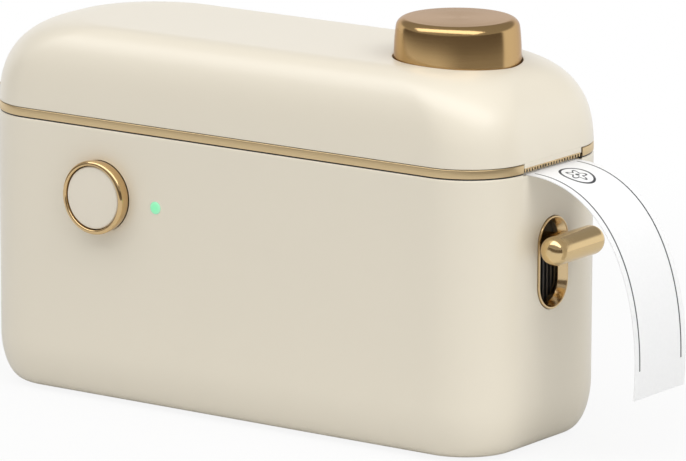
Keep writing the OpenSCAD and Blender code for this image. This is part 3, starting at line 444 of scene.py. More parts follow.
# ---- lid ----
def dome_height(u):
    """Superellipse of the dome: (1 - u)^p + h^p = 1, with u the share of the inset."""
    return (1 - (1 - u)**DOME_POWER)**(1/DOME_POWER)


def dome_share(h):
    """Share of the inset at relative height h, the inverse of dome_height."""
    return 1 - (1 - h**DOME_POWER)**(1/DOME_POWER)


def dome_plan(u, wall=0.0):
    """Half sizes and plan radius of the dome's level with inset share u."""
    half_x = END_X - wall - (DOME_X - wall)*u
    half_y = SIDE_Y - wall - (DOME_Y - wall)*u
    # the ends never become quite a half circle
    return half_x, half_y, np.minimum(CORNER_R - wall + DOME_ROUND*u, half_y - 0.2)


def dome_surface(x, y):
    """Height of the dome over (x, y): bisects for the level whose outline passes there."""
    low, high = np.zeros_like(x), np.ones_like(x)
    for _ in range(40):
        middle = (low + high)/2
        half_x, half_y, radius = dome_plan(middle)
        dx = np.maximum(np.abs(x) - half_x + radius, 0)
        dy = np.maximum(np.abs(y) - half_y + radius, 0)
        outside = np.hypot(dx, dy) > radius
        high = np.where(outside, middle, high)
        low = np.where(outside, low, middle)
    return SEAM_Z + LID_RISE*dome_height((low + high)/2)


def drum(radius, z0, z1):
    """A plain round cutter on the knob's axis."""
    path = np.array([(0, z0), (radius, z0), (radius, z1), (0, z1)])
    return make_turned("drum", path, (KNOB_X, 0, 0), "z", 128, recalc=True)


def cut(obj, tool):
    """Takes the tool's solid away from the object's, and then the tool itself from the scene."""
    step = obj.modifiers.new("cut", "BOOLEAN")
    step.object, step.operation, step.solver = tool, "DIFFERENCE", "EXACT"
    shape = bpy.data.meshes.new_from_object(obj.evaluated_get(bpy.context.evaluated_depsgraph_get()))
    obj.modifiers.clear()
    obj.data = shape
    bpy.data.objects.remove(tool)


def lid_level(columns, z, wall=0.0):
    """The dome's outline at height z, or the hollow's, which is the wall further in and lower."""
    # rounding must not take the height past the crown
    share = dome_share(min((z - SEAM_Z)/(LID_RISE - wall), 0.99999))
    return at_height(loop(columns, *dome_plan(share, wall)), z)


def make_hollow(columns):
    """Cutter for the space under the dome, which leaves a wall round the knob's well.

    Its levels lie at the sines of even angles, so they crowd together towards the top,
    and the last one lies below the lid's edge, so that the cut is open there.
    """
    top, lowest, below = (LID_RISE - LID_WALL)*0.9999, 0.16, 1.0
    heights = SEAM_Z + top*np.sin(np.linspace(math.pi/2, lowest, 16))
    mouth = lid_level(columns, LID_Z, LID_WALL)
    levels = [lid_level(columns, z, LID_WALL) for z in heights if z > LID_Z + 0.1]
    hollow = make_solid("hollow", levels + [mouth, mouth - [0, 0, below]])
    cut(hollow, drum(WELL_R + WELL_WALL, WELL_FLOOR - WELL_WALL, LID_TOP))
    return hollow


def make_lid():
    """The domed cover: one profile from its lower edge up the dome and down into the knob's well.

    The upper part runs along straight plan lines from one level of the dome to the
    circle of the well, so the well's lip follows the dome. The hollow below and the
    stem's hole are then cut out of that solid.
    """
    leaf_y, leaf_top = lid_leaf_high[1], lid_leaf_high[2]
    side = spread(mirrored(FLAT_X), 0.9)
    right = spread(mirrored(FLAT_Y), 0.6)
    left = spread(mirrored(leaf_y, leaf_y + STEP, FLAT_Y), 0.6)
    columns = outline_columns(right/FLAT_Y, side/FLAT_X, left/FLAT_Y, side/FLAT_X, 26)
    edge_r, lip_r, upper_share, stem_gap = 0.14, 0.22, 0.3, 0.1
    # lower edge: a small rounding between the flat rim and the dome
    normal = np.column_stack([np.cos(columns[2]), np.sin(columns[2]), 0*columns[2]])
    rings = [lid_level(columns, LID_Z + up) - normal*inset for up, inset in quarter_round(edge_r, 6)]
    switch = SEAM_Z + LID_RISE*dome_height(upper_share)
    lower = spread([LID_Z + edge_r, leaf_top, leaf_top + STEP, switch], 0.35)
    points = np.array(rings + [lid_level(columns, z) for z in lower[1:]])
    sink_leaf(points, leaf_y, points[..., 2] <= leaf_top + STEP/4)

    start = points[-1]
    centre = np.array([KNOB_X, 0.0])
    delta = start[:, :2] - centre
    direction = delta/np.linalg.norm(delta, axis=1, keepdims=True)
    # the power crowds the levels together where the dome is steep
    share = (np.linspace(0, 1, 111)[1:, None, None])**1.6
    plan = start[:, :2] + (centre + direction*(WELL_R + lip_r) - start[:, :2])*share
    upper = np.concatenate([plan, dome_surface(plan[..., 0], plan[..., 1])[..., None]], axis=-1)

    lip = upper[-1]
    well = []
    for drop, out in quarter_round(lip_r, 7)[1:]:
        well.append(np.column_stack([centre + direction*(WELL_R + out), lip[:, 2] - drop]))
    well += [at_height(centre + direction*radius, WELL_FLOOR) for radius in (WELL_R, WELL_R/2)]
    shell = make_solid("lid_skin", np.concatenate([points, upper, well]))
    cut(shell, make_hollow(columns))
    cut(shell, drum(stem_high[0] - KNOB_X + stem_gap, WELL_FLOOR - 2*WELL_WALL, WELL_FLOOR + WELL_WALL))
    shell.data.set_sharp_from_angle(angle=math.radians(34))
    return shell


def make_tongue():
    """The tongue that closes the exit down to the middle of the band.

    A stack of rounded rectangles, drawn in by a quarter circle at the foot and the top.
    """
    face, thick, side_gap, above, radius = 0.05, 1.3, 0.25, 0.7, 0.12
    low = np.array([END_X - face - thick, -EXIT_Y + side_gap, TONGUE_Z])
    high = np.array([END_X - face, EXIT_Y - side_gap, LID_Z + above])
    half, middle = (high - low)/2, (high + low)/2
    line = np.linspace(-1, 1, 3)
    columns = outline_columns(line, line, line, line, 6)
    rounding = quarter_round(radius, 6)
    levels = [(inset, low[2] + up) for inset, up in rounding[::-1]]
    levels += [(inset, high[2] - down) for inset, down in rounding]
    rings = []
    for inset, z in levels:
        corner = max(radius - inset*0.9, 0.01)
        rings.append(at_height(loop(columns, *(half[:2] - inset), corner) + middle[:2], z))
    return make_solid("exit_tongue", rings)


def make_tear_edge():
    """The tear edge under the lid's exit lip: a thin bar whose lower edge is a row of teeth."""
    pitch, tooth, half_y = 0.8, 0.5, EXIT_Y - 0.3
    x0, x1, root, top = END_X - 0.12, END_X - 0.03, TONGUE_Z - 0.02, TONGUE_Z + 0.16
    count = round(2*half_y/pitch)
    places = np.linspace(-half_y, half_y, count + 1)[:-1, None] + pitch*np.array([0, 0.06, 0.44, 0.5])
    tips = (root - tooth*np.array([0, 1, 1, 0]) + 0*places).ravel()
    y = places.ravel()
    rows = [(x1, np.full_like(y, top)), (x1, tips), (x0, tips), (x0, np.full_like(y, top))]
    bars = np.array([np.column_stack([np.full_like(y, x), y, z]) for x, z in rows])
    return make_solid("exit_tear_edge", bars.transpose(1, 0, 2), angle=20)


def open_outline(across, along):
    """The outline's columns, from the label exit's far edge round to its near edge."""
    columns = outline_columns(across, along, across, along, 26)
    on_exit = (columns[0] == 1) & (columns[2] == 0)
    stub = np.array([[1, 1], [EXIT_Y/FLAT_Y, 1], [0, 0]], float)
    near_stub = stub[:, ::-1]*np.array([[1], [-1], [1]])
    return np.concatenate([stub, columns[:, ~on_exit], near_stub], axis=1)


def make_bar(name, section, columns):
    """A bar: a closed section of (inset, z) points carried round the outline, open at the exit."""
    rings = [
        at_height(loop(columns, END_X - inset, SIDE_Y - inset, CORNER_R - inset), z)
        for inset, z in section
    ]
    return make_solid(name, np.array(rings).transpose(1, 0, 2))


def make_band():
    """The seam band: a bar with softened edges that shows all round but at the exit."""
    low, high, depth, soft = SEAM_Z + 0.2, BAND_TOP + 0.07, 1.1, 0.18
    middle = (low + high)/2
    section = soft_path([
        (depth, middle, 0), (depth, low, soft), (0, low, soft), (0, high, soft), (depth, high, soft),
        (depth, middle, 0),
    ], 5)[:-1]
    columns = open_outline(np.linspace(-1, 1, 9), spread(mirrored(FLAT_X), 3.0)/FLAT_X)
    return make_bar("seam_band_bar", section, columns)


def make_seam_shade_strip():
    """A black strip in the gaps under and over the band, set back from its face all round: painted shade,
    which makes the gaps read as dark lines.
    """
    low, high, near, far = SEAM_Z - 0.05, LID_Z - 0.01, 0.2, 0.95
    section = [(far, low), (near, low), (near, high), (far, high)]
    return make_bar("seam_shade_strip", section, open_outline(np.linspace(-1, 1, 3), np.linspace(-1, 1, 9)))


# ---- fittings ----
def make_knob():
    """The print knob: a turned cap with a tapered side, a rounded shoulder and a hollow foot."""
    z0, z1 = knob_low[2], knob_high[2]
    wall, recess, lean, shoulder = 1.5, 2.0, 0.5, 1.6
    # the side leans in with the square of its height
    rise = np.array([0, 1, 2, 3, 4, 6])/6
    side = np.column_stack([KNOB_R - lean*rise**2, LID_TOP + (z1 - LID_TOP)*rise, 0*rise])
    side[-1, 2] = shoulder
    path = soft_path([
        (0, z0 + recess, 0), (KNOB_R - wall, z0 + recess, 0), (KNOB_R - wall, z0, 0.1), (KNOB_R, z0, 0.3),
        *side, (KNOB_R - 6, z1, 0), (0, z1, 0),
    ], 14)
    return make_turned("knob_cap", path, (KNOB_X, 0, 0), "z", 192, angle=40)


def make_ring():
    """The button's collar, turned about Y: a rounded lip, an elliptical crown and a barrelled side."""
    inner, neck, sleeve = CAP_R + 0.12, RING_R - 0.1, -1.6
    out, lip_r, crown_h, bulge = RING_PROUD, 0.25, 0.6, 0.26
    crest, girth = inner + lip_r, RING_R + bulge
    turn = np.linspace(0, math.pi/2, 13)
    lip = np.column_stack([crest - lip_r*np.cos(turn), out - lip_r*(1 - np.sin(turn))])
    crown = np.column_stack([crest + (girth - crest)*np.sin(turn), out - crown_h*(1 - np.cos(turn))])
    fall = np.linspace(0, 1, 10)[1:]
    barrel = np.column_stack([girth - bulge*fall**2, (out - crown_h)*(1 - fall)])
    path = np.concatenate([
        [[inner, sleeve]], lip, crown[1:], barrel, [[neck, -0.05], [neck, sleeve], [inner, sleeve]],
    ])
    return make_turned("button_collar", path*OUTWARDS, BUTTON, "y", 144, recalc=True)


def make_cap():
    """The power button: a low crown with a rounded edge, turned about Y, and its flange."""
    front, back = -SIDE_Y - cap_low[1], -SIDE_Y - cap_high[1]
    crown, edge_r, stem_r = 0.12, 0.32, 1.6
    flange_r, flange_back, flange_front = RING_R + 0.2, -WALL - 0.8, -WALL - 0.1
    u = np.linspace(0, 1, 18)[1:]
    rim = CAP_R - edge_r
    face = np.column_stack([rim*(1 - u), front - crown*(1 - u)**2])[:-1]
    shoulder = np.array([CAP_R, front - crown]) - quarter_round(edge_r, 9)
    path = np.concatenate([
        [[POLE_R, back], [stem_r, back], [stem_r, flange_back], [flange_r, flange_back],
         [flange_r, flange_front], [CAP_R, flange_front]],
        shoulder, face, [[POLE_R, front]],
    ])
    return make_solid("button_crown", revolve(path*OUTWARDS, BUTTON, "y", 144), angle=40)


def make_slot_rim():
    """The lever slot's rim: a softened lip carried round a stadium, and its neck through the wall."""
    straight, ends = np.linspace(-1, 1, 9), np.array([-1.0, 1.0])
    columns = outline_columns(straight, ends, straight, ends, 30)
    half_w, half_h = RIM_W/2, RIM_H/2
    out = rim_high[0] - END_X
    section = soft_path([
        (RIM_WALL, -WALL, 0), (RIM_WALL, out - RIM_FLARE, 0.4), (RIM_LIP, out, 0.12), (0.0, out, 0.12),
        (0.0, -WALL, 0), (RIM_WALL, -WALL, 0),
    ], 6)[:-1]
    rings = []
    for inset, proud in section:
        ring = loop(columns, half_w - inset, half_h - inset, half_w - inset)
        rings.append(np.column_stack([np.full(len(ring), END_X + proud), ring + [0, RIM_Z]]))
    skin = Skin()
    skin.grid(np.array(rings + rings[:1]), closed=True)
    return skin.make("slot_rim", recalc=True)


def make_lever():
    """The lever: a turned bar along Y with domed ends, and the neck that leads into the slot."""
    half, dome, collar_r = BAR_L/2, 2.05, NECK_R + 0.5
    path = soft_path([
        (POLE_R, -half, 0), (BAR_R, -half, dome), (BAR_R, half, dome), (POLE_R, half, 0),
    ], 16)
    bar = Skin()
    bar.stack(revolve(path, (BAR_X, 0, BAR_Z), "y", 112))
    neck_path = soft_path([
        (POLE_R, lever_low[0], 0), (NECK_R, lever_low[0], 0.1), (NECK_R, BAR_X - BAR_R - 0.2, 0.5),
        (collar_r, BAR_X - BAR_R + 0.5, 0.3), (collar_r, BAR_X, 0), (POLE_R, BAR_X, 0),
    ], 6)
    bar.stack(revolve(neck_path, (0, 0, BAR_Z), "x", 72))
    return bar.make("lever_bar", recalc=True, angle=40)


def label_line(count):
    """Centre line of the label: a short level run, then a cubic from level to hanging."""
    # the cubic's four points, as shares of the reach and of the fall
    shares = np.array([[0, 0], [0.73, 0], [1.08, -0.465], [1, -1]])
    p = np.array([END_X, TAPE_Z]) + shares*[LABEL_REACH, LABEL_FALL]
    t = np.linspace(0, 1, count)[:, None]
    curve = (1 - t)**3*p[0] + 3*(1 - t)**2*t*p[1] + 3*(1 - t)*t**2*p[2] + t**3*p[3]
    return np.concatenate([[[tape_low[0], TAPE_Z]], curve])


def make_label():
    """The printed label: a thin ribbon along label_line, crowned a little across its width.

    Its UV map holds millimetres: u along the strip from the exit, v across it. The
    underside's u is negative, so nothing prints there.
    """
    unprinted, cup_depth = -5.0, 0.10
    line = label_line(90)
    slope = np.gradient(line, axis=0)
    normal = np.column_stack([-slope[:, 1], slope[:, 0]])/np.linalg.norm(slope, axis=1, keepdims=True)
    length = np.concatenate([[0], np.cumsum(np.linalg.norm(np.diff(line, axis=0), axis=1))])
    length -= length[1]
    across = np.linspace(-1, 1, 13)
    # the free end cups a little, as cut tape does
    cup = cup_depth*(np.clip(length, 0, None)/length[-1])[:, None]*(1 - across**2)[None]

    def face(side):
        """One face of the ribbon, half a thickness off the centre line, from +Y to -Y."""
        offset = side*TAPE_T/2 - cup
        x = line[:, :1] + normal[:, :1]*offset
        z = line[:, 1:] + normal[:, 1:]*offset
        y = np.broadcast_to(across*TAPE_Y, x.shape)
        return np.stack([x, y, z], axis=-1)[:, ::-1]

    skin = Skin()
    top, bottom = face(1), face(-1)
    u = np.broadcast_to(length[:, None], top.shape[:2])
    v = np.broadcast_to(across[::-1]*TAPE_Y, top.shape[:2])
    skin.grid(top)
    skin.grid(bottom[:, ::-1])
    for a, b in ((top[:, 0], bottom[:, 0]), (bottom[:, -1], top[:, -1])):
        skin.grid(np.stack([b, a], axis=1))
    skin.grid(np.stack([bottom[-1], top[-1]])[:, ::-1])
    skin.grid(np.stack([top[0], bottom[0]])[:, ::-1])
    flat = np.concatenate([np.stack([u, v], axis=-1).reshape(-1, 2),
                           np.full((skin.count - u.size, 2), unprinted)])
    obj = skin.make("printed_label", merge=False)
    layer = obj.data.uv_layers.new(name="print_mm")
    corner = np.zeros(len(obj.data.loops), np.int32)
    obj.data.loops.foreach_get("vertex_index", corner)
    layer.data.foreach_set("uv", flat[corner].astype(np.float32).ravel())
    return obj


def make_light():
    """The status light's lens: a shallow dome turned about Y, flush in the front wall."""
    turn, pole, proud, crown = np.linspace(0, math.pi/2, 9), 0.005, 0.02, 0.13
    path = np.concatenate([
        [[2*pole, -WALL], [LIGHT_R, -WALL]],
        np.column_stack([LIGHT_R*np.cos(turn) + pole, proud + crown*np.sin(turn)]),
    ])
    centre = (LIGHT_X, -SIDE_Y, LIGHT_Z)
    return make_solid("light_lens", revolve(path*OUTWARDS, centre, "y", 48))


# ---- materials ----
class Tree:
    """Adds nodes to a shader tree and wires them by socket name."""

    def __init__(self, tree):
        self.tree = tree

    def feed(self, node, inputs):
        """Fills a node's inputs: a socket is linked, and anything else becomes the value."""
        for key, value in inputs.items():
            if isinstance(value, bpy.types.NodeSocket):
                self.tree.links.new(value, node.inputs[key])
            else:
                node.inputs[key].default_value = value

    def add(self, kind, inputs=None, **settings):
        """A new node of a kind, with its settings and inputs filled in."""
        node = self.tree.nodes.new(kind)
        for key, value in settings.items():
            setattr(node, key, value)
        self.feed(node, inputs or {})
        return node

    def math(self, operation, *values):
        """Arithmetic on numbers."""
        return self.add("ShaderNodeMath", dict(enumerate(values)), operation=operation).outputs[0]

    def vector(self, operation, *values):
        """Arithmetic on vectors; a length, a distance or a dot product comes out as a number."""
        node = self.add("ShaderNodeVectorMath", dict(enumerate(values)), operation=operation)
        return node.outputs["Value" if operation in ("LENGTH", "DISTANCE", "DOT_PRODUCT") else "Vector"]

    def scaled(self, color, factor):
        """A colour times a number."""
        return self.add("ShaderNodeVectorMath", {0: color, "Scale": factor}, operation="SCALE").outputs[0]

    def mix(self, factor, a, b):
        """The colour that lies by factor between a and b."""
        return self.add("ShaderNodeMix", {0: factor, 6: a, 7: b}, data_type="RGBA").outputs[2]

    def rest(self, value):
        """What a value leaves of one."""
        return self.math("SUBTRACT", 1.0, value)

    def ramp(self, value, low, high):
        """Smooth step of value from low to high."""
        node = self.add("ShaderNodeMapRange", {"Value": value, "From Min": low, "From Max": high},
                        interpolation_type="SMOOTHSTEP", clamp=True)
        return node.outputs["Result"]

    def place(self):
        """Where a point lies on the object, in metres."""
        return self.add("ShaderNodeTexCoord").outputs["Object"]

    def noise(self, place, scale, detail):
        """Smooth noise between 0 and 1."""
        inputs = {"Vector": place, "Scale": scale, "Detail": detail}
        return self.add("ShaderNodeTexNoise", inputs).outputs["Fac"]

    def swing(self, noise, reach, middle):
        """middle + reach (noise - 0.5)."""
        return self.math("MULTIPLY_ADD", self.math("SUBTRACT", noise, 0.5), reach, middle)

    def bump(self, height, strength, distance=0.00002):
        """A normal tilted by a height; distance is the relief's depth in metres."""
        inputs = {"Height": height, "Strength": strength, "Distance": distance}
        return self.add("ShaderNodeBump", inputs).outputs[0]


def start_material(name, settings):
    """A node material with settings on its Principled shader, its Tree, and that shader."""
    material = bpy.data.materials.new(name)
    material.use_nodes = True
    tree = Tree(material.node_tree)
    shader = material.node_tree.nodes["Principled BSDF"]
    tree.feed(shader, settings)
    return material, tree, shader


WHITE = (1.0, 1.0, 1.0, 1.0)


def effect(name, roughness, inputs, wire):
    """A shader group that wire builds: colour, gloss and height that change over the surface.

    inputs are (label, kind, value) and follow the place, the colour and the roughness.
    """
    group = bpy.data.node_groups.new(name, "ShaderNodeTree")
    shared = [("Vector", "Vector", (0, 0, 0)), ("Color", "Color", WHITE), ("Roughness", "Float", roughness)]
    for label, kind, value in shared + inputs:
        socket = group.interface.new_socket(label, in_out="INPUT", socket_type="NodeSocket" + kind)
        socket.default_value = value
    for label, kind in (("Color", "Color"), ("Roughness", "Float"), ("Height", "Float")):
        group.interface.new_socket(label, in_out="OUTPUT", socket_type="NodeSocket" + kind)
    tree = Tree(group)
    tree.add("NodeGroupOutput", wire(tree, tree.add("NodeGroupInput").outputs))
    return group


def wire_moulded(t, i):
    """Moulded plastic: a faint orange-peel height and slow drifts of colour and gloss."""
    peel, slow = t.noise(i["Vector"], i["Peel Scale"], 2.0), t.noise(i["Vector"], 28.0, 3.0)
    tint = t.scaled(i["Color"], t.swing(slow, i["Drift"], 1.0))
    return {"Color": tint, "Roughness": t.swing(slow, 0.08, i["Roughness"]), "Height": peel}


def wire_turned(t, i):
    """Turned metal: rings round an axis through Centre, as lathe marks, plus slow drifts.

    The axis is given by Squash, which is 0 along it and 1 across it.
    """
    offset = t.vector("SUBTRACT", i["Vector"], i["Centre"])
    across = t.vector("MULTIPLY", offset, i["Squash"])
    along = t.vector("SUBTRACT", offset, across)
    ring = t.add("ShaderNodeCombineXYZ", {"X": t.vector("LENGTH", across), "Y": t.vector("LENGTH", along)})
    marks, slow = t.noise(ring.outputs[0], i["Mark Scale"], 3.0), t.noise(i["Vector"], 60.0, 2.0)
    tint = t.scaled(i["Color"], t.swing(slow, 0.10, 1.0))
    return {"Color": tint, "Roughness": t.swing(marks, 0.12, i["Roughness"]), "Height": marks}


def wire_brushed(t, i):
    """Brushed or rolled metal: noise stretched by Stretch gives height, colour and gloss."""
    lines = t.noise(t.vector("MULTIPLY", i["Vector"], i["Stretch"]), 1.0, 4.0)
    tint = t.scaled(i["Color"], t.swing(lines, i["Swing"], 1.0))
    return {"Color": tint, "Roughness": t.swing(lines, i["Swing"], i["Roughness"]), "Height": lines}


moulded = effect("moulded_plastic", 0.3, [
    ("Peel Scale", "Float", 900.0), ("Drift", "Float", 0.05)], wire_moulded)
turned = effect("turned_metal", 0.25, [
    ("Centre", "Vector", (0, 0, 0)), ("Squash", "Vector", (1, 1, 0)), ("Mark Scale", "Float", 4000.0),
], wire_turned)
brushed = effect("brushed_metal", 0.35, [
    ("Stretch", "Vector", (200, 4000, 4000)), ("Swing", "Float", 0.3)], wire_brushed)


def surface(name, group, color, roughness, settings, bump, depth, **shader):
    """A material: one effect group feeds colour, gloss and bump of a Principled shader."""
    material, t, principled = start_material(name, shader)
    made = t.add("ShaderNodeGroup", node_tree=group)
    t.feed(made, {"Vector": t.place(), "Color": (*color, 1), "Roughness": roughness, **settings})
    t.feed(principled, {"Base Color": made.outputs["Color"], "Roughness": made.outputs["Roughness"],
                        "Normal": t.bump(made.outputs["Height"], bump, depth)})
    return material


def plastic(name, color, roughness, bump=0.15, peel=900.0, drift=0.05, depth=0.00002, **shader):
    """A moulded material; drift is how far its colour wanders."""
    settings = {"Peel Scale": peel, "Drift": drift}
    return surface(name, moulded, color, roughness, settings, bump, depth, **shader)


def metal(name, color, roughness, stretch=(300, 3000, 3000), bump=0.1, swing=0.3):
    """A brushed metal; stretch is how many cells of noise a metre holds along X, Y and Z."""
    settings = {"Stretch": stretch, "Swing": swing}
    return surface(name, brushed, color, roughness, settings, bump, 0.00001, Metallic=1.0)


def lathe_gold(name, color, roughness, centre, squash, bump, **shader):
    """Gold turned about the axis through centre along which squash is 0."""
    settings = {"Centre": tuple(np.array(centre)*MM), "Squash": squash, "Mark Scale": 5000.0}
    return surface(name, turned, color, roughness, settings, bump, 0.00001, Metallic=1.0, **shader)


cream = plastic("cream_gloss", (0.80, 0.735, 0.605), 0.32, bump=0.05, peel=700, drift=0.03,
                **{"Coat Weight": 0.8, "Coat Roughness": 0.42})
cream_cap = plastic("cream_cap", (0.80, 0.735, 0.615), 0.24, bump=0.05, peel=900, drift=0.03)
gold_knob = lathe_gold("gold_knob", (0.58, 0.39, 0.18), 0.18, (KNOB_X, 0, 0), (1, 1, 0), 0.06, **{
    "Anisotropic": 0.5, "Anisotropic Rotation": 0.25, "Specular Tint": (0.74, 0.67, 0.64, 1)})
gold_collar = lathe_gold("gold_collar", (0.70, 0.50, 0.26), 0.10, BUTTON, (1, 0, 1), 0.03)
gold_lever = lathe_gold("gold_lever", (0.74, 0.55, 0.29), 0.16, (BAR_X, 0, BAR_Z), (1, 0, 1), 0.05)
gold_band = metal("gold_band", (0.74, 0.57, 0.33), 0.34, stretch=(250, 250, 2500), bump=0.02, swing=0.06)
gold_rim = metal("gold_rim", (0.72, 0.54, 0.31), 0.16, stretch=(800, 800, 800), bump=0.02, swing=0.06)
gold_leaf = metal("gold_leaf", (0.58, 0.43, 0.23), 0.28, stretch=(400, 4000, 400), bump=0.08)
gold_blade = metal("gold_blade", (0.60, 0.46, 0.26), 0.30, stretch=(800, 400, 4000))
steel = metal("plain_steel", (0.56, 0.56, 0.57), 0.32)
zinc_sheet = metal("zinc_sheet", (0.60, 0.61, 0.62), 0.38, stretch=(500, 500, 500), bump=0.05)
motor_can = metal("motor_can", (0.52, 0.53, 0.55), 0.30, stretch=(300, 5000, 300))
nickel = metal("nickel", (0.72, 0.71, 0.69), 0.14, bump=0.02)
bronze = metal("sintered_bronze", (0.50, 0.34, 0.18), 0.42, stretch=(2500, 2500, 2500), bump=0.2)
head_metal = metal("head_aluminium", (0.74, 0.74, 0.75), 0.34, stretch=(5000, 300, 5000))
black_plastic = plastic("black_plastic", (0.018, 0.018, 0.02), 0.42, bump=0.2, peel=2500)
grey_plastic = plastic("grey_plastic", (0.11, 0.11, 0.115), 0.50, bump=0.35, peel=2600)
acetal = plastic("acetal", (0.78, 0.77, 0.72), 0.36, bump=0.1, peel=1400)
rubber = plastic("rubber", (0.035, 0.035, 0.036), 0.72, bump=0.5, peel=3200, drift=0.2)
card = plastic("wound_card", (0.40, 0.27, 0.15), 0.85, bump=0.6, peel=3500, drift=0.3)
# the battery's pouch: crinkled foil under a matt film
foil = plastic("battery_foil", (0.24, 0.27, 0.31), 0.38, bump=0.8, peel=260, drift=0.2, depth=0.0002,
               Metallic=0.6)


def make_paper():
    """Thermal stock: fibre noise, and on the roll's ends the edges of the wound turns."""
    material, t, shader = start_material("thermal_stock", {"Roughness": 0.6})
    place = t.place()
    offset = t.vector("SUBTRACT", place, tuple((core_low + core_high)/2*MM))
    across = t.vector("MULTIPLY", offset, (1, 0, 1))
    turns = t.add("ShaderNodeTexNoise", {"W": t.vector("LENGTH", across), "Scale": 5200.0, "Detail": 2.0},
                  noise_dimensions="1D")
    shade = t.math("MULTIPLY_ADD", turns.outputs["Fac"], 0.16, 0.90)
    t.feed(shader, {"Base Color": t.scaled((0.90, 0.90, 0.885), shade),
                    "Normal": t.bump(t.noise(place, 1800.0, 4.0), 0.2)})
    return material


def make_print():
    """The printed label: two border lines, and a ring with a five-petal flower by the exit.

    Distances are millimetres from the UV map. The flower's outline is where the radius
    meets petal_r + petal_swing cos(5 angle).
    """
    line_at, line_half, line_start, line_end, soft = 6.15, 0.16, 0.45, 40.9, 0.04
    motif_u, motif_v, ring_r, ring_half = 4.9, -0.3, 2.9, 0.22
    petal_r, petal_swing, petal_half, heart_r = 1.35, 0.45, 0.20, 0.38
    material, t, shader = start_material("printed_tape", {"Roughness": 0.55})
    split = t.add("ShaderNodeSeparateXYZ", {0: t.add("ShaderNodeUVMap", uv_map="print_mm").outputs["UV"]})
    u, v = split.outputs["X"], split.outputs["Y"]

    def stroke(distance, half):
        """Ink where the distance from a line is under half, with a soft edge."""
        return t.rest(t.ramp(t.math("ABSOLUTE", distance), half - soft, half + soft))

    lines = stroke(t.math("SUBTRACT", t.math("ABSOLUTE", v), line_at), line_half)
    begun, ended = t.ramp(u, line_start, line_start + 0.05), t.ramp(u, line_end, line_end + 0.06)
    lines = t.math("MULTIPLY", lines, t.math("MULTIPLY", begun, t.rest(ended)))
    du, dv = t.math("SUBTRACT", u, motif_u), t.math("SUBTRACT", v, motif_v)
    radius = t.math("SQRT", t.math("ADD", t.math("MULTIPLY", du, du), t.math("MULTIPLY", dv, dv)))
    wave = t.math("COSINE", t.math("MULTIPLY", t.math("ARCTAN2", dv, du), 5.0))
    petal = t.math("MULTIPLY_ADD", wave, petal_swing, petal_r)
    ring = stroke(t.math("SUBTRACT", radius, ring_r), ring_half)
    flower = stroke(t.math("SUBTRACT", radius, petal), petal_half)
    ink = t.math("MAXIMUM", t.math("MAXIMUM", lines, ring),
                 t.math("MAXIMUM", flower, stroke(radius, heart_r)))
    ink = t.math("MULTIPLY", ink, t.ramp(u, 0.0, 0.02))
    fibre = t.noise(t.place(), 1800.0, 4.0)
    stock = t.scaled((0.90, 0.90, 0.90), t.math("MULTIPLY_ADD", fibre, 0.06, 0.97))
    t.feed(shader, {"Base Color": t.mix(ink, stock, (0.045, 0.048, 0.055, 1)),
                    "Normal": t.bump(fibre, 0.12)})
    return material


def make_board():
    """Circuit board: solder mask with a grid of tracks and tinned pads in it."""
    material, t, shader = start_material("circuit_board", {})
    cells = t.add("ShaderNodeTexVoronoi", {"Vector": t.place(), "Scale": 420.0, "Randomness": 0.35},
                  distance="CHEBYCHEV", feature="F1").outputs["Distance"]
    tracks, pads = t.ramp(cells, 0.40, 0.44), t.rest(t.ramp(cells, 0.07, 0.10))
    mask = t.mix(tracks, (0.012, 0.10, 0.045, 1), (0.02, 0.16, 0.07, 1))
    t.feed(shader, {
        "Base Color": t.mix(pads, mask, (0.62, 0.60, 0.54, 1)), "Metallic": pads,
        "Roughness": t.math("MULTIPLY_ADD", pads, -0.1, 0.38), "Normal": t.bump(tracks, 0.3, 0.00003),
    })
    return material


def make_lens():
    """Status light: mint lens that glows, a little less towards its rim."""
    material, t, shader = start_material("mint_lens", {"Emission Strength": 0.22, "Roughness": 0.3})
    away = t.vector("DISTANCE", t.place(), (LIGHT_X*MM, -SIDE_Y*MM, LIGHT_Z*MM))
    tint = t.mix(t.ramp(away, 0.0004, 0.0011), (0.26, 0.84, 0.45, 1), (0.34, 0.80, 0.50, 1))
    t.feed(shader, {"Base Color": tint, "Emission Color": tint})
    return material


board, paper = make_board(), make_paper()


def finish_piece(obj, body, slot, material, *nodes):
    """Rides a new piece on its body, hides the nodes it stands for and gives it its finish."""
    obj.data.materials.clear()
    obj.data.materials.append(material)
    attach(obj, body)
    if nodes:
        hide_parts(*nodes)


finish_piece(make_base(), "base", "cream_shell", cream, "base_shell")
finish_piece(make_lid(), "lid", "cream_shell", cream, "lid_shell")
finish_piece(make_tongue(), "lid", "cream_shell", cream)
finish_piece(make_tear_edge(), "lid", "gold_trim", gold_rim)
finish_piece(make_band(), "base", "gold_trim", gold_band, "seam_band")
# the black strip in the band's gaps is painted shade: it makes the seam read as dark lines
finish_piece(make_seam_shade_strip(), "base", "black_plastic", black_plastic)
finish_piece(make_knob(), "knob", "gold_metal", gold_knob, "print_knob")
finish_piece(make_ring(), "base", "gold_trim", gold_collar, "power_button_ring")
finish_piece(make_cap(), "power_button", "cream_shell", cream_cap, "power_button_cap")
finish_piece(make_slot_rim(), "base", "gold_trim", gold_rim, "slot_escutcheon")
finish_piece(make_lever(), "cutter", "gold_metal", gold_lever, "lever_handle")
finish_piece(make_label(), "base", "label_paper", make_print(), "label_strip")
finish_piece(make_light(), "base", "mint_light", make_lens(), "status_light_pipe")

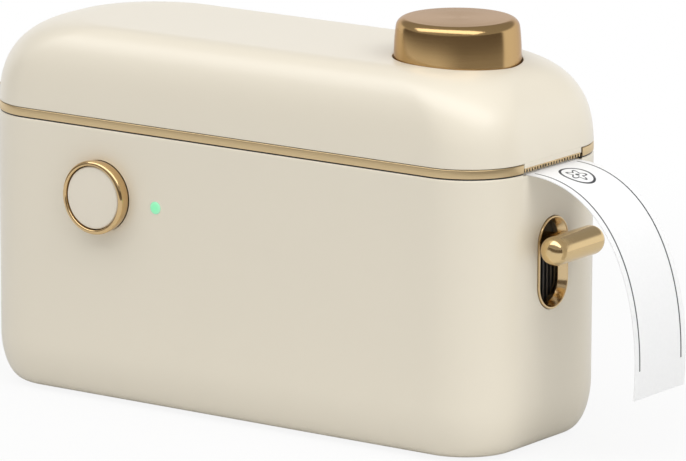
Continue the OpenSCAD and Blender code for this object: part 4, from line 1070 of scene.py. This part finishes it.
# finishes of the solids that stay as they are
NODE_FINISH = {
    rubber: "non_slip_pad platen_roller",
    steel: "usb_port power_switch chassis_screws motor_screws idler_shaft cutter_guide_rods "
           "hinge_pin hinge_base_screws liner_screws hinge_lid_screws "
           "head_pivot_pin knob_stem knob_retaining_ring blade_rivets platen_shaft strike_plates",
    zinc_sheet: "chassis head_bracket",
    motor_can: "drive_motor",
    nickel: "lid_magnets",
    bronze: "platen_bushings motor_pinion",
    board: "charge_board main_board print_switch_board",
    foil: "battery_pack",
    black_plastic: "board_chips tape_guide print_switch lever_slide",
    grey_plastic: "lid_liner",
    acetal: "roll_spindle platen_gear idler_gear",
    gold_leaf: "hinge_base_leaf hinge_lid_leaf",
    gold_blade: "cutter_blade",
    head_metal: "printhead",
    paper: "tape_web label_roll",
    card: "roll_core",
}
for material, names in NODE_FINISH.items():
    for name in names.split():
        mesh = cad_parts[name].data
        mesh.materials.clear()
        mesh.materials.append(material)


# ---- springs: a round wire on a helix ----
def make_springs(name, wire, turns, sides=10, steps=28):
    """The node's springs: a round wire on a helix, one closed turn at each end, even pitch between.

    wire is its radius. A node whose box is long in Y holds two springs, one at each end.
    """
    low, high = span(name)
    half = (high[0] - low[0])/2
    radius, middle = half - wire, (low + high)/2
    long_box = high[1] - low[1] > 3*half
    centres = [low[1] + half, high[1] - half] if long_box else [middle[1]]
    turn = np.linspace(0, turns, turns*steps + 1)
    rise = high[2] - low[2] - 2*wire
    z = low[2] + wire + np.interp(turn, [0, 1, turns - 1, turns], [0, 2*wire, rise - 2*wire, rise])
    around = np.linspace(0, 2*math.pi, sides, endpoint=False)
    angle = 2*math.pi*turn[:, None]
    reach = radius + wire*np.cos(around)
    height = z[:, None] + wire*np.sin(around)
    skin = Skin()
    for y in centres:
        coil = np.stack([middle[0] + reach*np.cos(angle), y + reach*np.sin(angle), height], axis=-1)
        skin.stack(coil)
    return skin.make(name + "_coils", angle=40, recalc=True)


def fit_spring(name, body, wire, turns):
    """Makes the node's springs, gives them steel, rides them on the body and gives them a mesh of their
    own.
    """
    piece = make_springs(name, wire, turns)
    finish_piece(piece, body, "steel", steel, name)
    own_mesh(piece)


fit_spring("cutter_return_springs", "base", 0.3, 9)
fit_spring("knob_spring", "lid", 0.35, 5)
fit_spring("head_springs", "lid", 0.25, 5)


# ---- studio ----
# the middle of the object, which the lamps and the camera look at
AIM = np.array([0, 0, 35.0])
# light all round, and the card that metal sees: where it is, and how soft its edges are
AMBIENT = 0.47
CARD_AZIMUTH, CARD_EDGE, CARD_TOP, CARD_SOFT, CARD_LIFT = 19.5, -0.28, 0.30, 0.06, -60.0
CARD_COLOR, CEILING_COLOR = (0.15, 0.13, 0.115, 1), (0.38, 0.37, 0.36, 1)


def look_axes(azimuth, elevation):
    """Right, up and back of a view of the object: azimuth 0 is the front, and 90 is the label's end."""
    a, e = math.radians(azimuth), math.radians(elevation)
    back = np.array([math.sin(a)*math.cos(e), -math.cos(a)*math.cos(e), math.sin(e)])
    right = np.array([math.cos(a), math.sin(a), 0.0])
    return right, np.cross(back, right), back


def put_in_studio(obj, right, up, back, place):
    """Puts a lamp or the camera at a place in metres, its own X, Y and Z along right, up and back."""
    bpy.context.scene.collection.objects.link(obj)
    rows = np.column_stack([right, up, back, place]).tolist()
    obj.matrix_world = Matrix(rows + [[0, 0, 0, 1]])


def make_floor():
    """A pale round floor: it keeps the object's soft shadow and fades into the white round it.

    It lies a hair below the origin, so that nothing on the resting face is in its plane.
    """
    radius, count, drop = 0.28, 96, 0.00005
    fade_from, fade_to, near_white = 0.09, 0.22, 0.89
    angle = np.linspace(0, 2*math.pi, count, endpoint=False)
    rim = np.column_stack([radius*np.cos(angle), radius*np.sin(angle), 0*angle - drop])
    mesh = bpy.data.meshes.new("floor")
    mesh.from_pydata(rim.tolist(), [], [list(range(count))])
    floor = bpy.data.objects.new("floor", mesh)
    bpy.context.scene.collection.objects.link(floor)
    material, t, shader = start_material("pale_floor", {
        "Base Color": (0.72, 0.72, 0.715, 1), "Roughness": 0.9, "Specular IOR Level": 0.1})
    glow = t.add("ShaderNodeEmission", {"Color": WHITE, "Strength": 1.0})
    # the camera sees mostly white near the object, and nothing but white further out
    away = t.ramp(t.vector("LENGTH", t.place()), fade_from, fade_to)
    fade = t.math("MULTIPLY_ADD", away, 1 - near_white, near_white)
    seen = t.math("MULTIPLY", t.add("ShaderNodeLightPath").outputs["Is Camera Ray"], fade)
    blend = t.add("ShaderNodeMixShader", {0: seen, 1: shader.outputs[0], 2: glow.outputs[0]})
    t.feed(material.node_tree.nodes["Material Output"], {"Surface": blend.outputs[0]})
    mesh.materials.append(material)


def make_world():
    """White behind the object; soft grey light all round; metal sees a studio's light and dark.

    The reflected studio is a fixed function of direction: white all round below a dim
    ceiling, and a dark card across the front, whose lower edge lifts off the floor
    towards the left and lets the white show under it.
    """
    world = bpy.data.worlds.new("studio")
    bpy.context.scene.world = world
    world.use_nodes = True
    t = Tree(world.node_tree)
    path = t.add("ShaderNodeLightPath").outputs
    direction = t.add("ShaderNodeTexCoord").outputs["Generated"]
    level = t.vector("NORMALIZE", t.vector("MULTIPLY", direction, (1, 1, 0)))
    height = t.add("ShaderNodeSeparateXYZ", {0: direction}).outputs["Z"]
    front = t.vector("DOT_PRODUCT", level, tuple(look_axes(CARD_AZIMUTH, 0)[2]))
    left = t.vector("DOT_PRODUCT", level, tuple(look_axes(CARD_LIFT, 0)[2]))
    low, high = CARD_TOP - CARD_SOFT, CARD_TOP + CARD_SOFT
    card = t.math("MULTIPLY", t.ramp(front, CARD_EDGE - CARD_SOFT, CARD_EDGE + CARD_SOFT),
                  t.rest(t.ramp(height, low, high)))
    lift = t.math("MULTIPLY_ADD", t.ramp(left, -0.3, 0.7), 0.75, 0.25)
    under = t.math("MULTIPLY", lift, t.rest(t.ramp(height, -0.17, -0.03)))
    card = t.math("MULTIPLY", card, t.rest(under))
    room = t.mix(t.ramp(height, low, CARD_TOP + 0.10), WHITE, CEILING_COLOR)
    color = t.mix(path["Is Glossy Ray"], (AMBIENT, AMBIENT, AMBIENT, 1), t.mix(card, room, CARD_COLOR))
    seen = t.math("MAXIMUM", path["Is Camera Ray"], path["Is Transmission Ray"])
    t.feed(world.node_tree.nodes["Background"], {"Color": t.mix(seen, color, WHITE), "Strength": 1.0})


def lamp(name, azimuth, elevation, distance, width, depth, power, mirrored=True):
    """A softbox that looks at the middle of the object; mirrored is whether metal shows it."""
    data = bpy.data.lights.new(name, "AREA")
    data.shape, data.size, data.size_y, data.energy = "RECTANGLE", width, depth, power
    obj = bpy.data.objects.new(name, data)
    obj.visible_glossy = mirrored
    right, up, back = look_axes(azimuth, elevation)
    put_in_studio(obj, right, up, back, AIM*MM + back*distance)


def make_camera():
    """A long lens at the object's three-quarter view, level but for a trace of roll.

    The focal length and the optical centre are in pixels of a render 686 wide and 461 high.
    """
    azimuth, elevation, roll = 35.89, 12.15, math.radians(0.084)
    distance, focal_px, centre_px = 1053.0, 6280.0, (291.66, 200.07)
    width_px, height_px, sensor = 686, 461, 36.0
    right, up, back = look_axes(azimuth, elevation)
    c, s = math.cos(roll), math.sin(roll)
    data = bpy.data.cameras.new("camera")
    data.sensor_width = sensor
    data.lens = focal_px/width_px*sensor
    data.shift_x = (width_px/2 - centre_px[0])/width_px
    data.shift_y = -(height_px/2 - centre_px[1])/width_px
    data.clip_start, data.clip_end = 0.01, 20.0
    camera = bpy.data.objects.new("camera", data)
    put_in_studio(camera, c*right + s*up, c*up - s*right, back, (AIM + back*distance)*MM)
    bpy.context.scene.camera = camera


make_floor()
make_world()
lamp("overhead", 10, 66, 1.1, 2.6, 0.75, 12.2)
lamp("right", 92, 42, 1.1, 0.5, 0.5, 2.6, mirrored=False)
lamp("low_right", 70, 3, 1.2, 1.0, 1.0, 1.6, mirrored=False)
make_camera()
bpy.context.scene.view_settings.view_transform = "Standard"
